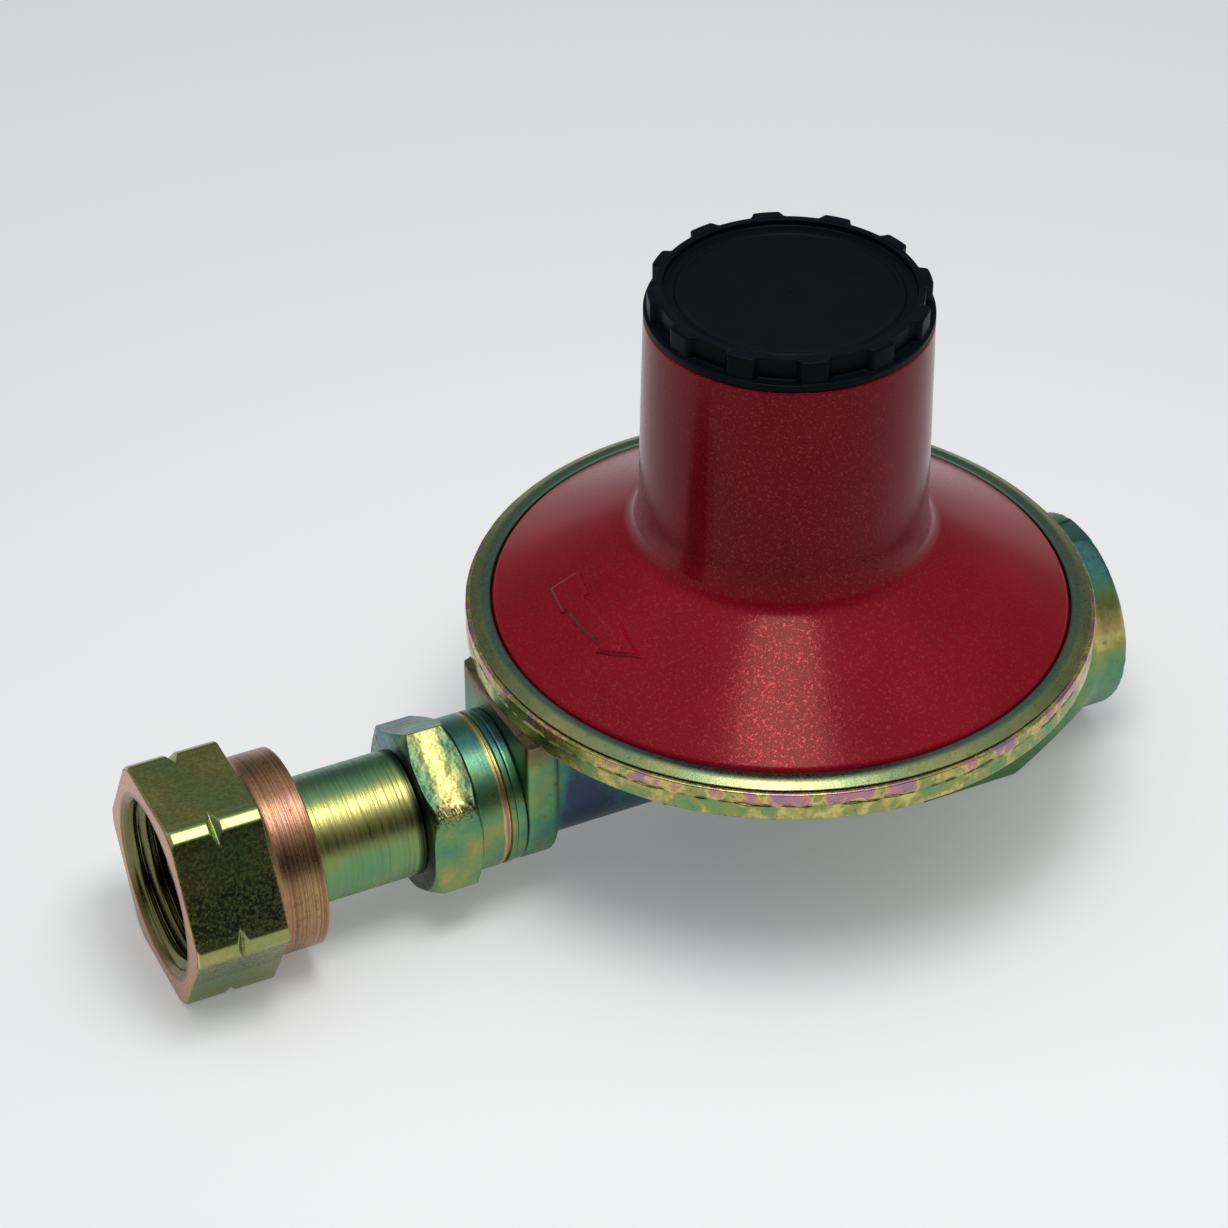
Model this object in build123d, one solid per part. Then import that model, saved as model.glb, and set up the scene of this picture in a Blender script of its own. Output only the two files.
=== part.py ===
from build123d import *
import os
from math import radians, sqrt, tan

# A gas regulator with a red spring bonnet on a die-cast bowl. Millimetres.
# X is the flow axis, from the inlet at -X to the outlet at +X. Z points up the spring tower.
# The origin lies on the resting plane, straight under the tower's axis.

# Clearances and fits
RUN_FIT = 0.05          # radial gap of a shaft in its bore
THREAD_FIT = 0.1        # radial gap between two threads, which are modelled plain
TUBE_SLIDE_FIT = 0.1    # radial gap of the nut and its washer on the tube
FREE_GAP = 0.3          # gap between pieces that move past each other
CONTACT_GAP = 0.1       # gap left where a moving piece comes to rest on its stop

# Union nut at the inlet, for a left-hand 20 mm valve thread
NUT_FLATS = 25.0
NUT_CORNER_R = 14.05    # corners turned down to this radius
NUT_MOUTH_CORNER_R = 13.8
NUT_THREAD_R = 10.0
NUT_BORE_LENGTH = 12.7
NUT_HEX_LENGTH = 10.9
NUT_COLLAR_R = 11.7
NUT_COLLAR_LENGTH = 5.7
NUT_MOUTH_BEVEL = 0.6
NUT_RELIEF_DEPTH = 0.3  # the bore is wider past the end of its thread
NUT_CORNER_BEVEL_DEG = 30
NOTCH_DEPTH = 0.95
NOTCH_WIDTH = 1.9
AXIS_Z = NUT_FLATS / 2  # the nut's lower flat lies on the resting plane

# Body casting
RIM_R = 36.9
RIM_HEIGHT = 4.6
LIP_RISE = 16.3         # top of the lip above the flow axis
LIP_THICKNESS = 1.3
LIP_WIDTH = 3.0
LIP_ROUNDING = 0.9
RIM_UNDERCUT = 0.95     # the dish meets the rim this far inside its edge
RIM_WALL = 1.8
LEDGE_WIDTH = 4.6
DISH_FOOT_R = 24.0
DISH_DEPTH = 8.2        # below the rim
DISH_FLOOR = 2.0
DISH_WALL = 2.6
DUCT_R = 7.5
TROUGH_R = 5.6
TROUGH_INLET_X = -24.5
TROUGH_OUTLET_X = 20.0
HEAD_LENGTH = 4.0
HEAD_HALF_WIDTH = 9.2
HEAD_DROP = 2.8         # top of the inlet head below the lip's top
HEAD_BEVEL = 1.6
INLET_BORE_R = 6.0
INLET_BORE_DEPTH = 7.3
KEEL_HALF_WIDTH = 4.0
KEEL_INLET_X = -17.0
KEEL_BOTTOM_Z = 4.5
FOOT_R = 4.6
OUTLET_REACH = 4.9      # outlet face beyond the rim
OUTLET_BOSS_R = 12.2
OUTLET_BOSS_LENGTH = 3.8
OUTLET_THREAD_R = 8.33
OUTLET_THREAD_LENGTH = 12.0
OUTLET_PASSAGE_R = 5.0
OUTLET_BLOCK_INNER_X = 14.0
OUTLET_TAPER_DEG = 25.5

# Bonnet: clamped flange, cone and spring tower
BONNET_FLANGE = 1.8
BONNET_FLANGE_GAP = 0.2
BONNET_WALL = 2.3
CONE_EDGE_RISE = 0.1
CONE_RISE = 9.9         # foot of the tower above the lip's top
TOWER_FOOT_R = 17.3
TOWER_STEP = 3.3        # the tower draws in to its straight taper over this height
TOWER_LOW_R = 16.75
TOWER_TOP_R = 16.3
TOWER_RISE = 38.2       # top of the tower above the lip's top
TOWER_BORE_R = 13.9
SPRING_CHAMBER_R = 13.2
TOWER_THREAD_DEPTH = 22.0
SEAL_POCKET_R = 15.0
SEAL_THICKNESS = 0.9
VENT_R = 0.8
VENT_DROP = 4.7         # vent below the foot of the tower

# Cap
CAP_FLANGE_R = 16.3
CAP_FLANGE = 0.9
CAP_WALL_R = 15.0
CAP_RIM_WALL = 0.7
CAP_HEIGHT = 3.5        # above the tower
CAP_RECESS = 0.8
CAP_PLATE = 1.8
CAP_SPIGOT_DEPTH = 4.0
CAP_SPIGOT_WALL = 2.2
CAP_LUG_COUNT = 12
CAP_LUG_R = 15.95
CAP_LUG_WIDTH = 3.4
CAP_LUG_RISE = 0.1
CAP_LUG_TURN_DEG = 12
CAP_LUG_ROOT_R = 14.6

# Adjusting screw, spring seat and main spring
SCREW_DROP = 12.8       # underside of the screw below the tower's top
SCREW_HEIGHT = 6.0
SCREW_SOCKET_FLATS = 10.0
SCREW_SOCKET_DEPTH = 4.2
SCREW_POINT_R = 3.0
SCREW_POINT = 1.0
SEAT_R = 12.5
SEAT_THICKNESS = 2.0
SEAT_BOSS_R = 8.6
SEAT_BOSS_HEIGHT = 3.7
SPRING_MEAN_R = 10.4
SPRING_WIRE_R = 1.1
SPRING_TURNS = 6.0

# Diaphragm and its plates
DIAPHRAGM_SAG = 3.7     # underside of the flat middle below the ledge
DIAPHRAGM_THICKNESS = 1.0
DIAPHRAGM_EDGE = 1.0    # thickness of the clamped edge
DIAPHRAGM_FLAT_R = 20.0
PLATE_HOLE_R = 2.5
UPPER_PLATE_R = 19.0
UPPER_PLATE = 0.9
UPPER_PLATE_RIM = 1.1
SPRING_RING_WALL = 0.8
SPRING_RING_HEIGHT = 1.5
LOWER_PLATE_R = 10.0
LOWER_PLATE = 0.8
STEM_R = 2.0
STEM_SEAT_R = 4.0
STEM_SEAT = 1.2
STEM_PROUD = 1.0        # threaded end above the relief nut
EYE_LENGTH = 5.0
EYE_WIDTH = 5.8
EYE_DROP = 2.9          # bottom of the eye below the lever's arm
EYE_WINDOW_WIDTH = 3.8
BEAD_GAP = 0.2

# Relief valve on the stem
RELIEF_SPRING_MEAN_R = 3.6
RELIEF_WIRE_R = 0.4
RELIEF_SPRING_HEIGHT = 6.7
RELIEF_TURNS = 5.0
RELIEF_RETAINER_R = 4.6
RELIEF_RETAINER = 0.8
RELIEF_NUT_FLATS = 7.0
RELIEF_NUT = 2.6

# Lever
PIVOT_X = -13.0
PIVOT_DROP = 3.6        # pivot below the flow axis
PIVOT_R = 0.8
LEVER_EYE_R = 1.6
LEVER_EYE_RECESS = 3.9
CHEEK_INNER_Y = 2.3
CHEEK_THICKNESS = 1.2
CHEEK_NECK = 1.4
CHEEK_NOSE_R = 1.35
ARM_RISE = 4.9          # middle of the long arm above the flow axis
BRIDGE_DROP = 1.4       # underside of the bridge below the middle of the arm
ARM_THICKNESS = 1.0
ARM_HALF_WIDTH = 1.5
BEAD_R = 0.9
PIN_COVER = 0.3         # duct's wall over the corner of the pin's end
PIN_HALF_LENGTH = sqrt((DUCT_R - PIN_COVER) ** 2 - (PIVOT_DROP + PIVOT_R) ** 2)

# Valve: nozzle, pad, holder and guide
NOZZLE_THREAD_R = 4.0
NOZZLE_FLANGE_R = 5.3
NOZZLE_FLANGE = 1.3
NOZZLE_SEAL = 0.5
NOZZLE_TIP_R = 3.0
NOZZLE_TIP_LENGTH = 2.5
NOZZLE_LIP_R = 2.2
NOZZLE_LIP = 0.4
ORIFICE_R = 1.3
NOZZLE_ENTRY_R = 2.4
NOZZLE_SLOT_WIDTH = 1.3
NOZZLE_SLOT_DEPTH = 0.65
VALVE_OPENING = 0.8     # pad to nozzle lip, valve fully open
PAD_R = 3.4
PAD_THICKNESS = 2.0
PAD_PROUD = 0.2
HOLDER_CUP_R = 4.4
HOLDER_CUP_LENGTH = 3.4
HOLDER_SHOULDER_R = 3.0
HOLDER_COLLAR = 1.2
GROOVE_WIDTH = 3.0
HOLDER_ROD_R = 2.0
HOLDER_END_X = -4.0
GUIDE_OFFSET = 3.7      # guide's inlet side past the pivot
GUIDE_LENGTH = 4.7
GUIDE_TOP_RISE = 3.2

# Inlet adapter, tail tube and seals
ADAPTER_FLATS = 19.0
ADAPTER_TURN_DEG = 30   # turns a corner of the hexagon to the top
ADAPTER_BEVEL_DEG = 30
ADAPTER_HEX_LENGTH = 6.1
ADAPTER_NECK_R = 9.2
ADAPTER_NECK_LENGTH = 4.5
ADAPTER_GROOVE = 0.5
ADAPTER_GROOVE_FROM_END = 1.2
ADAPTER_SPIGOT_LENGTH = 6.6
ADAPTER_BORE_R = 3.2
ADAPTER_SEAL = 1.3
BRAZE_SOCKET_R = 5.5
BRAZE_SOCKET_DEPTH = 5.0
TUBE_R = 7.5
TUBE_BORE_R = 4.5
TUBE_NECK_LENGTH = 2.3  # the narrow bore starts this far before the braze socket
TUBE_LENGTH = 18.3
TUBE_FLANGE_R = 8.7
TUBE_FLANGE = 2.5
NOSE_R = 5.4
NOSE_LENGTH = 1.8
GASKET_R = 8.6
SLIP_WASHER = 0.6
SLIP_WASHER_R = 9.6
FILTER_RING = 1.0
FILTER_LENGTH = 10.0
FILTER_CUP_R = 3.8
FILTER_WALL = 0.8
FILTER_INSET = 5.0

# Stations along the flow axis that follow from the sizes above
HEAD_X = -RIM_R         # the head's face is flush with the rim
OUTLET_END_X = RIM_R + OUTLET_REACH
GUIDE_INLET_X = PIVOT_X + GUIDE_OFFSET
ADAPTER_SHOULDER_X = HEAD_X - ADAPTER_SEAL
ADAPTER_HEX_X = ADAPTER_SHOULDER_X - ADAPTER_NECK_LENGTH
TUBE_ROOT_X = ADAPTER_HEX_X - ADAPTER_HEX_LENGTH
FLANGE_BACK_X = TUBE_ROOT_X - TUBE_LENGTH
FLANGE_FACE_X = FLANGE_BACK_X - TUBE_FLANGE
NOSE_X = FLANGE_FACE_X - NOSE_LENGTH
NUT_SHOULDER_X = FLANGE_BACK_X + SLIP_WASHER
NUT_MOUTH_X = NUT_SHOULDER_X - NUT_BORE_LENGTH
NUT_RELIEF_X = NOSE_X - FREE_GAP
NUT_COLLAR_X = NUT_MOUTH_X + NUT_HEX_LENGTH
NUT_END_X = NUT_COLLAR_X + NUT_COLLAR_LENGTH
INLET_BORE_END_X = HEAD_X + INLET_BORE_DEPTH
NOZZLE_FLANGE_X = INLET_BORE_END_X - NOZZLE_SEAL
NOZZLE_LIP_X = TROUGH_INLET_X + NOZZLE_TIP_LENGTH + NOZZLE_LIP
PAD_FACE_X = NOZZLE_LIP_X + VALVE_OPENING
CUP_FACE_X = PAD_FACE_X + PAD_PROUD
OUTLET_THREAD_X = OUTLET_END_X - OUTLET_THREAD_LENGTH

# Radii and heights that follow from the sizes above
LIP_INNER_R = RIM_R - LIP_WIDTH
RIM_BORE_R = RIM_R - RIM_WALL
LEDGE_INNER_R = RIM_BORE_R - LEDGE_WIDTH
CONE_EDGE_R = LIP_INNER_R - CONTACT_GAP
LIP_TOP_Z = AXIS_Z + LIP_RISE
RIM_BOTTOM_Z = LIP_TOP_Z - RIM_HEIGHT
DISH_BOTTOM_Z = RIM_BOTTOM_Z - DISH_DEPTH
HEAD_TOP_Z = LIP_TOP_Z - HEAD_DROP
TOWER_FOOT_Z = LIP_TOP_Z + CONE_RISE
TOWER_STRAIGHT_Z = TOWER_FOOT_Z + TOWER_STEP
TOWER_TOP_Z = LIP_TOP_Z + TOWER_RISE
CAP_TOP_Z = TOWER_TOP_Z + CAP_HEIGHT
FLANGE_TOP_Z = LIP_TOP_Z - LIP_THICKNESS
FLANGE_Z = FLANGE_TOP_Z - BONNET_FLANGE
LEDGE_Z = FLANGE_Z - DIAPHRAGM_EDGE
DIAPHRAGM_Z = LEDGE_Z - DIAPHRAGM_SAG
UPPER_PLATE_Z = DIAPHRAGM_Z + DIAPHRAGM_THICKNESS
SPRING_FOOT_Z = UPPER_PLATE_Z + UPPER_PLATE
LOWER_PLATE_Z = DIAPHRAGM_Z - LOWER_PLATE
SCREW_BOTTOM_Z = TOWER_TOP_Z - SCREW_DROP
SEAT_TOP_Z = SCREW_BOTTOM_Z - SCREW_POINT
SEAT_Z = SEAT_TOP_Z - SEAT_THICKNESS
PIVOT_Z = AXIS_Z - PIVOT_DROP
ARM_Z = AXIS_Z + ARM_RISE
RETAINER_Z = SPRING_FOOT_Z + RELIEF_SPRING_HEIGHT
RELIEF_NUT_Z = RETAINER_Z + RELIEF_RETAINER
STEM_TOP_Z = RELIEF_NUT_Z + RELIEF_NUT + STEM_PROUD

FLOW_AXIS = Axis((0, 0, AXIS_Z), (1, 0, 0))


def turned_z(points):
    """A piece turned about the tower's axis from its (radius, height) outline."""
    outline = Polyline(*[(radius, 0, height) for radius, height in points], close=True)
    return revolve(make_face(outline.edges()), axis=Axis.Z)


def turned_x(points):
    """A piece turned about the flow axis from its (x, radius) outline."""
    outline = Polyline(*[(x, 0, AXIS_Z + radius) for x, radius in points], close=True)
    return revolve(make_face(outline.edges()), axis=FLOW_AXIS)


def rod_x(radius, x_from, x_to):
    """A round bar on the flow axis."""
    middle = (x_from + x_to) / 2
    return Pos(middle, 0, AXIS_Z) * Rot(0, 90, 0) * Cylinder(radius, x_to - x_from)


def rod_y(radius, x, z, y_from, y_to):
    """A round bar across the flow axis."""
    middle = (y_from + y_to) / 2
    return Pos(x, middle, z) * Rot(90, 0, 0) * Cylinder(radius, y_to - y_from)


def rod_z(radius, z_from, z_to):
    """A round bar on the tower's axis."""
    return Pos(0, 0, (z_from + z_to) / 2) * Cylinder(radius, z_to - z_from)


def block(x_from, x_to, y_from, y_to, z_from, z_to):
    """A rectangular block between six faces."""
    middle = Pos((x_from + x_to) / 2, (y_from + y_to) / 2, (z_from + z_to) / 2)
    return middle * Box(x_to - x_from, y_to - y_from, z_to - z_from)


def channel(radius, x_from, x_to, z_top):
    """A bar with a round underside on the flow axis and straight sides up to z_top."""
    upper = block(x_from, x_to, -radius, radius, AXIS_Z, z_top)
    return rod_x(radius, x_from, x_to) + upper


def hexagon_x(flats, x_from, x_to, turn):
    """A hexagonal bar on the flow axis; turn 0 puts two corners on the sides."""
    plane = Plane(origin=(x_from, 0, AXIS_Z), x_dir=(0, 1, 0), z_dir=(1, 0, 0))
    outline = plane * RegularPolygon(flats / 2, 6, major_radius=False, rotation=turn)
    return extrude(outline, amount=x_to - x_from)


def hexagon_z(flats, z_from, z_to):
    """A hexagonal bar on the tower's axis."""
    outline = Pos(0, 0, z_from) * RegularPolygon(flats / 2, 6, major_radius=False)
    return extrude(outline, amount=z_to - z_from)


def coil(mean_r, wire_r, z_from, height, turns):
    """A round-wire compression spring on the tower's axis."""
    rise = height - 2 * wire_r
    path = Helix(rise / turns, rise, mean_r, center=(0, 0, z_from + wire_r))
    section = Plane(origin=path @ 0, z_dir=path % 0) * Circle(wire_r)
    return sweep(section, path=path, is_frenet=True)


def union_nut():
    """Hexagon nut with a round collar, marked with notches for its left-hand thread."""
    hexagon = hexagon_x(NUT_FLATS, NUT_MOUTH_X, NUT_COLLAR_X, 0)
    run = (NUT_CORNER_R - NUT_MOUTH_CORNER_R) / tan(radians(NUT_CORNER_BEVEL_DEG))
    turned = turned_x([
        (NUT_MOUTH_X, 0), (NUT_MOUTH_X, NUT_MOUTH_CORNER_R), (NUT_MOUTH_X + run, NUT_CORNER_R),
        (NUT_COLLAR_X, NUT_CORNER_R), (NUT_COLLAR_X, 0)])
    notch_x = (NUT_MOUTH_X + NUT_COLLAR_X) / 2
    notch = turned_x([
        (notch_x, NUT_CORNER_R - NOTCH_DEPTH), (notch_x + NOTCH_WIDTH, NUT_CORNER_R + NOTCH_DEPTH),
        (notch_x - NOTCH_WIDTH, NUT_CORNER_R + NOTCH_DEPTH)])
    head = (hexagon & turned) - notch
    collar = rod_x(NUT_COLLAR_R, NUT_COLLAR_X, NUT_END_X)
    bore = turned_x([
        (NUT_MOUTH_X, 0), (NUT_MOUTH_X, NUT_THREAD_R + NUT_MOUTH_BEVEL),
        (NUT_MOUTH_X + NUT_MOUTH_BEVEL, NUT_THREAD_R), (NUT_RELIEF_X, NUT_THREAD_R),
        (NUT_RELIEF_X, NUT_THREAD_R + NUT_RELIEF_DEPTH),
        (NUT_SHOULDER_X, NUT_THREAD_R + NUT_RELIEF_DEPTH),
        (NUT_SHOULDER_X, TUBE_R + TUBE_SLIDE_FIT), (NUT_END_X, TUBE_R + TUBE_SLIDE_FIT),
        (NUT_END_X, 0)])
    return head + collar - bore


def slip_washer():
    """Thin washer between the nut's shoulder and the tube's flange."""
    ring = rod_x(SLIP_WASHER_R, FLANGE_BACK_X, NUT_SHOULDER_X)
    return ring - rod_x(TUBE_R + TUBE_SLIDE_FIT, FLANGE_BACK_X, NUT_SHOULDER_X)


def tail_tube():
    """Inlet tube with its flanged nose, brazed into the adapter."""
    spigot_end = TUBE_ROOT_X + BRAZE_SOCKET_DEPTH
    neck_bore_x = TUBE_ROOT_X - TUBE_NECK_LENGTH
    return turned_x([
        (NOSE_X, TUBE_BORE_R), (NOSE_X, NOSE_R), (FLANGE_FACE_X, NOSE_R),
        (FLANGE_FACE_X, TUBE_FLANGE_R), (FLANGE_BACK_X, TUBE_FLANGE_R), (FLANGE_BACK_X, TUBE_R),
        (TUBE_ROOT_X, TUBE_R), (TUBE_ROOT_X, BRAZE_SOCKET_R), (spigot_end, BRAZE_SOCKET_R),
        (spigot_end, ADAPTER_BORE_R), (neck_bore_x, ADAPTER_BORE_R), (neck_bore_x, TUBE_BORE_R)])


def nose_gasket():
    """Rubber ring that seals the nose against the cylinder valve."""
    ring = rod_x(GASKET_R, NOSE_X, FLANGE_FACE_X)
    return ring - rod_x(NOSE_R + RUN_FIT, NOSE_X, FLANGE_FACE_X)


def inlet_filter():
    """Sintered thimble in the tube's bore."""
    ring_x = NOSE_X + FILTER_INSET
    cup_x = ring_x + FILTER_RING
    end_x = ring_x + FILTER_LENGTH
    inner_r = FILTER_CUP_R - FILTER_WALL
    return turned_x([
        (ring_x, inner_r), (ring_x, TUBE_BORE_R - RUN_FIT), (cup_x, TUBE_BORE_R - RUN_FIT),
        (cup_x, FILTER_CUP_R), (end_x, FILTER_CUP_R), (end_x, 0),
        (end_x - FILTER_WALL, 0), (end_x - FILTER_WALL, inner_r)])


def inlet_adapter():
    """Hexagon adapter screwed into the inlet head."""
    hexagon = hexagon_x(ADAPTER_FLATS, TUBE_ROOT_X, ADAPTER_HEX_X, ADAPTER_TURN_DEG)
    corner_r = ADAPTER_FLATS / sqrt(3)
    face_r = ADAPTER_FLATS / 2
    run = (corner_r - face_r) * tan(radians(ADAPTER_BEVEL_DEG))
    turned = turned_x([
        (TUBE_ROOT_X, 0), (TUBE_ROOT_X, face_r), (TUBE_ROOT_X + run, corner_r),
        (ADAPTER_HEX_X - run, corner_r), (ADAPTER_HEX_X, face_r), (ADAPTER_HEX_X, 0)])
    groove_x = ADAPTER_SHOULDER_X - ADAPTER_GROOVE_FROM_END
    groove_end_x = groove_x + ADAPTER_GROOVE
    spigot_end = ADAPTER_SHOULDER_X + ADAPTER_SPIGOT_LENGTH
    neck = turned_x([
        (ADAPTER_HEX_X, 0), (ADAPTER_HEX_X, ADAPTER_NECK_R), (groove_x, ADAPTER_NECK_R),
        (groove_x, ADAPTER_NECK_R - ADAPTER_GROOVE), (groove_end_x, ADAPTER_NECK_R - ADAPTER_GROOVE),
        (groove_end_x, ADAPTER_NECK_R), (ADAPTER_SHOULDER_X, ADAPTER_NECK_R),
        (ADAPTER_SHOULDER_X, INLET_BORE_R - RUN_FIT), (spigot_end, INLET_BORE_R - RUN_FIT),
        (spigot_end, 0)])
    socket_end = TUBE_ROOT_X + BRAZE_SOCKET_DEPTH
    socket = rod_x(BRAZE_SOCKET_R + RUN_FIT, TUBE_ROOT_X, socket_end)
    return (hexagon & turned) + neck - socket - rod_x(ADAPTER_BORE_R, socket_end, spigot_end)


def adapter_seal():
    """Flat sealing washer under the adapter's shoulder."""
    ring = rod_x(ADAPTER_NECK_R - CONTACT_GAP, ADAPTER_SHOULDER_X, HEAD_X)
    return ring - rod_x(INLET_BORE_R, ADAPTER_SHOULDER_X, HEAD_X)


def nozzle():
    """Brass nozzle with its seat lip, screwed in from the inlet."""
    flange_end = NOZZLE_FLANGE_X
    flange_x = flange_end - NOZZLE_FLANGE
    tip_end = TROUGH_INLET_X + NOZZLE_TIP_LENGTH
    thread_r = NOZZLE_THREAD_R - RUN_FIT
    turned = turned_x([
        (flange_x, NOZZLE_ENTRY_R), (flange_x, NOZZLE_FLANGE_R), (flange_end, NOZZLE_FLANGE_R),
        (flange_end, thread_r), (TROUGH_INLET_X, thread_r), (TROUGH_INLET_X, NOZZLE_TIP_R),
        (tip_end, NOZZLE_TIP_R), (NOZZLE_LIP_X, NOZZLE_LIP_R), (NOZZLE_LIP_X, ORIFICE_R),
        (TROUGH_INLET_X, ORIFICE_R), (TROUGH_INLET_X, NOZZLE_ENTRY_R)])
    slot_half = NOZZLE_SLOT_WIDTH / 2
    slot = block(flange_x, flange_x + NOZZLE_SLOT_DEPTH, -NOZZLE_FLANGE_R, NOZZLE_FLANGE_R,
                 AXIS_Z - slot_half, AXIS_Z + slot_half)
    return turned - slot


def nozzle_seal():
    """Soft washer under the nozzle's flange."""
    ring = rod_x(NOZZLE_FLANGE_R, NOZZLE_FLANGE_X, INLET_BORE_END_X)
    return ring - rod_x(NOZZLE_THREAD_R, NOZZLE_FLANGE_X, INLET_BORE_END_X)


def valve_pad():
    """Rubber pad that closes on the nozzle's lip."""
    return rod_x(PAD_R - RUN_FIT, PAD_FACE_X, PAD_FACE_X + PAD_THICKNESS)


def valve_holder():
    """Sliding holder: cup for the pad, groove for the lever's fork, guided rod."""
    cup_end = CUP_FACE_X + HOLDER_CUP_LENGTH
    pad_back = PAD_FACE_X + PAD_THICKNESS
    groove_x = PIVOT_X - GROOVE_WIDTH / 2
    groove_end = PIVOT_X + GROOVE_WIDTH / 2
    collar_end = groove_end + HOLDER_COLLAR
    return turned_x([
        (pad_back, 0), (pad_back, PAD_R), (CUP_FACE_X, PAD_R), (CUP_FACE_X, HOLDER_CUP_R),
        (cup_end, HOLDER_CUP_R), (cup_end, HOLDER_SHOULDER_R), (groove_x, HOLDER_SHOULDER_R),
        (groove_x, HOLDER_ROD_R), (groove_end, HOLDER_ROD_R), (groove_end, HOLDER_SHOULDER_R),
        (collar_end, HOLDER_SHOULDER_R), (collar_end, HOLDER_ROD_R), (HOLDER_END_X, HOLDER_ROD_R),
        (HOLDER_END_X, 0)])


def valve_guide():
    """Brass block pressed into the trough, bored for the holder's rod."""
    guide_end = GUIDE_INLET_X + GUIDE_LENGTH
    shape = channel(TROUGH_R - RUN_FIT, GUIDE_INLET_X, guide_end, AXIS_Z + GUIDE_TOP_RISE)
    lid = block(GUIDE_INLET_X, guide_end, -TROUGH_R, TROUGH_R, AXIS_Z + GUIDE_TOP_RISE, LEDGE_Z)
    return shape - lid - rod_x(HOLDER_ROD_R + RUN_FIT, GUIDE_INLET_X, guide_end)


def lever_pin():
    """Pin across the trough that carries the lever."""
    return rod_y(PIVOT_R, PIVOT_X, PIVOT_Z, -PIN_HALF_LENGTH, PIN_HALF_LENGTH)


def lever():
    """Fork on the valve holder, bridged over the rod to one long arm with a round bead."""
    cheek_outer = CHEEK_INNER_Y + CHEEK_THICKNESS
    arm_bottom = ARM_Z - ARM_THICKNESS / 2
    arm_top = ARM_Z + ARM_THICKNESS / 2
    neck_x = PIVOT_X - CHEEK_NECK / 2
    neck_end = PIVOT_X + CHEEK_NECK / 2
    shape = block(neck_x, neck_end, -cheek_outer, cheek_outer, ARM_Z - BRIDGE_DROP, arm_top)
    for side in (-1, 1):
        y_from = min(side * CHEEK_INNER_Y, side * cheek_outer)
        y_to = max(side * CHEEK_INNER_Y, side * cheek_outer)
        shape += block(neck_x, neck_end, y_from, y_to, PIVOT_Z, arm_top)
        shape += rod_y(LEVER_EYE_R, PIVOT_X, PIVOT_Z, y_from, y_to)
        shape += rod_y(CHEEK_NOSE_R, PIVOT_X, AXIS_Z, y_from, y_to)
    shape += block(PIVOT_X, 0, -ARM_HALF_WIDTH, ARM_HALF_WIDTH, arm_bottom, arm_top)
    shape += rod_y(BEAD_R, 0, ARM_Z, -ARM_HALF_WIDTH, ARM_HALF_WIDTH)
    return shape - rod_y(PIVOT_R + RUN_FIT, PIVOT_X, PIVOT_Z, -cheek_outer, cheek_outer)


def diaphragm_stem():
    """Stem with an eye for the lever's bead, a relief seat and a threaded end."""
    half_length = EYE_LENGTH / 2
    half_width = EYE_WIDTH / 2
    half_window = EYE_WINDOW_WIDTH / 2
    seat_z = LOWER_PLATE_Z - STEM_SEAT
    eye = block(-half_length, half_length, -half_width, half_width, ARM_Z - EYE_DROP, seat_z)
    window = block(-half_length, half_length, -half_window, half_window,
                   ARM_Z - BEAD_R - BEAD_GAP, ARM_Z + BEAD_R + BEAD_GAP)
    seat = rod_z(STEM_SEAT_R, seat_z, LOWER_PLATE_Z)
    return eye + seat + rod_z(STEM_R, LOWER_PLATE_Z, STEM_TOP_Z) - window


def lower_diaphragm_plate():
    """Flat plate under the diaphragm; its underside seals on the stem's seat."""
    disc = rod_z(LOWER_PLATE_R, LOWER_PLATE_Z, DIAPHRAGM_Z)
    return disc - rod_z(PLATE_HOLE_R, LOWER_PLATE_Z, DIAPHRAGM_Z)


def upper_diaphragm_plate():
    """Pressed plate with a turned-up rim and a ring that centres the spring."""
    rim_top = SPRING_FOOT_Z + UPPER_PLATE_RIM
    ring_top = SPRING_FOOT_Z + SPRING_RING_HEIGHT
    ring_inner_r = SPRING_MEAN_R + SPRING_WIRE_R + FREE_GAP
    ring_outer_r = ring_inner_r + SPRING_RING_WALL
    rim_inner_r = UPPER_PLATE_R - UPPER_PLATE
    return turned_z([
        (PLATE_HOLE_R, UPPER_PLATE_Z), (UPPER_PLATE_R, UPPER_PLATE_Z), (UPPER_PLATE_R, rim_top),
        (rim_inner_r, rim_top), (rim_inner_r, SPRING_FOOT_Z), (ring_outer_r, SPRING_FOOT_Z),
        (ring_outer_r, ring_top), (ring_inner_r, ring_top), (ring_inner_r, SPRING_FOOT_Z),
        (PLATE_HOLE_R, SPRING_FOOT_Z)])


def diaphragm():
    """Rubber diaphragm: clamped edge, sloping fold and flat middle."""
    edge_r = RIM_BORE_R - BONNET_FLANGE_GAP
    middle_top = DIAPHRAGM_Z + DIAPHRAGM_THICKNESS
    return turned_z([
        (PLATE_HOLE_R, DIAPHRAGM_Z), (DIAPHRAGM_FLAT_R, DIAPHRAGM_Z),
        (LEDGE_INNER_R - DIAPHRAGM_EDGE, LEDGE_Z), (edge_r, LEDGE_Z), (edge_r, FLANGE_Z),
        (LEDGE_INNER_R - DIAPHRAGM_EDGE, FLANGE_Z), (DIAPHRAGM_FLAT_R, middle_top),
        (PLATE_HOLE_R, middle_top)])


def relief_retainer():
    """Washer on top of the relief spring."""
    ring = rod_z(RELIEF_RETAINER_R, RETAINER_Z, RELIEF_NUT_Z)
    return ring - rod_z(STEM_R + RUN_FIT, RETAINER_Z, RELIEF_NUT_Z)


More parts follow.
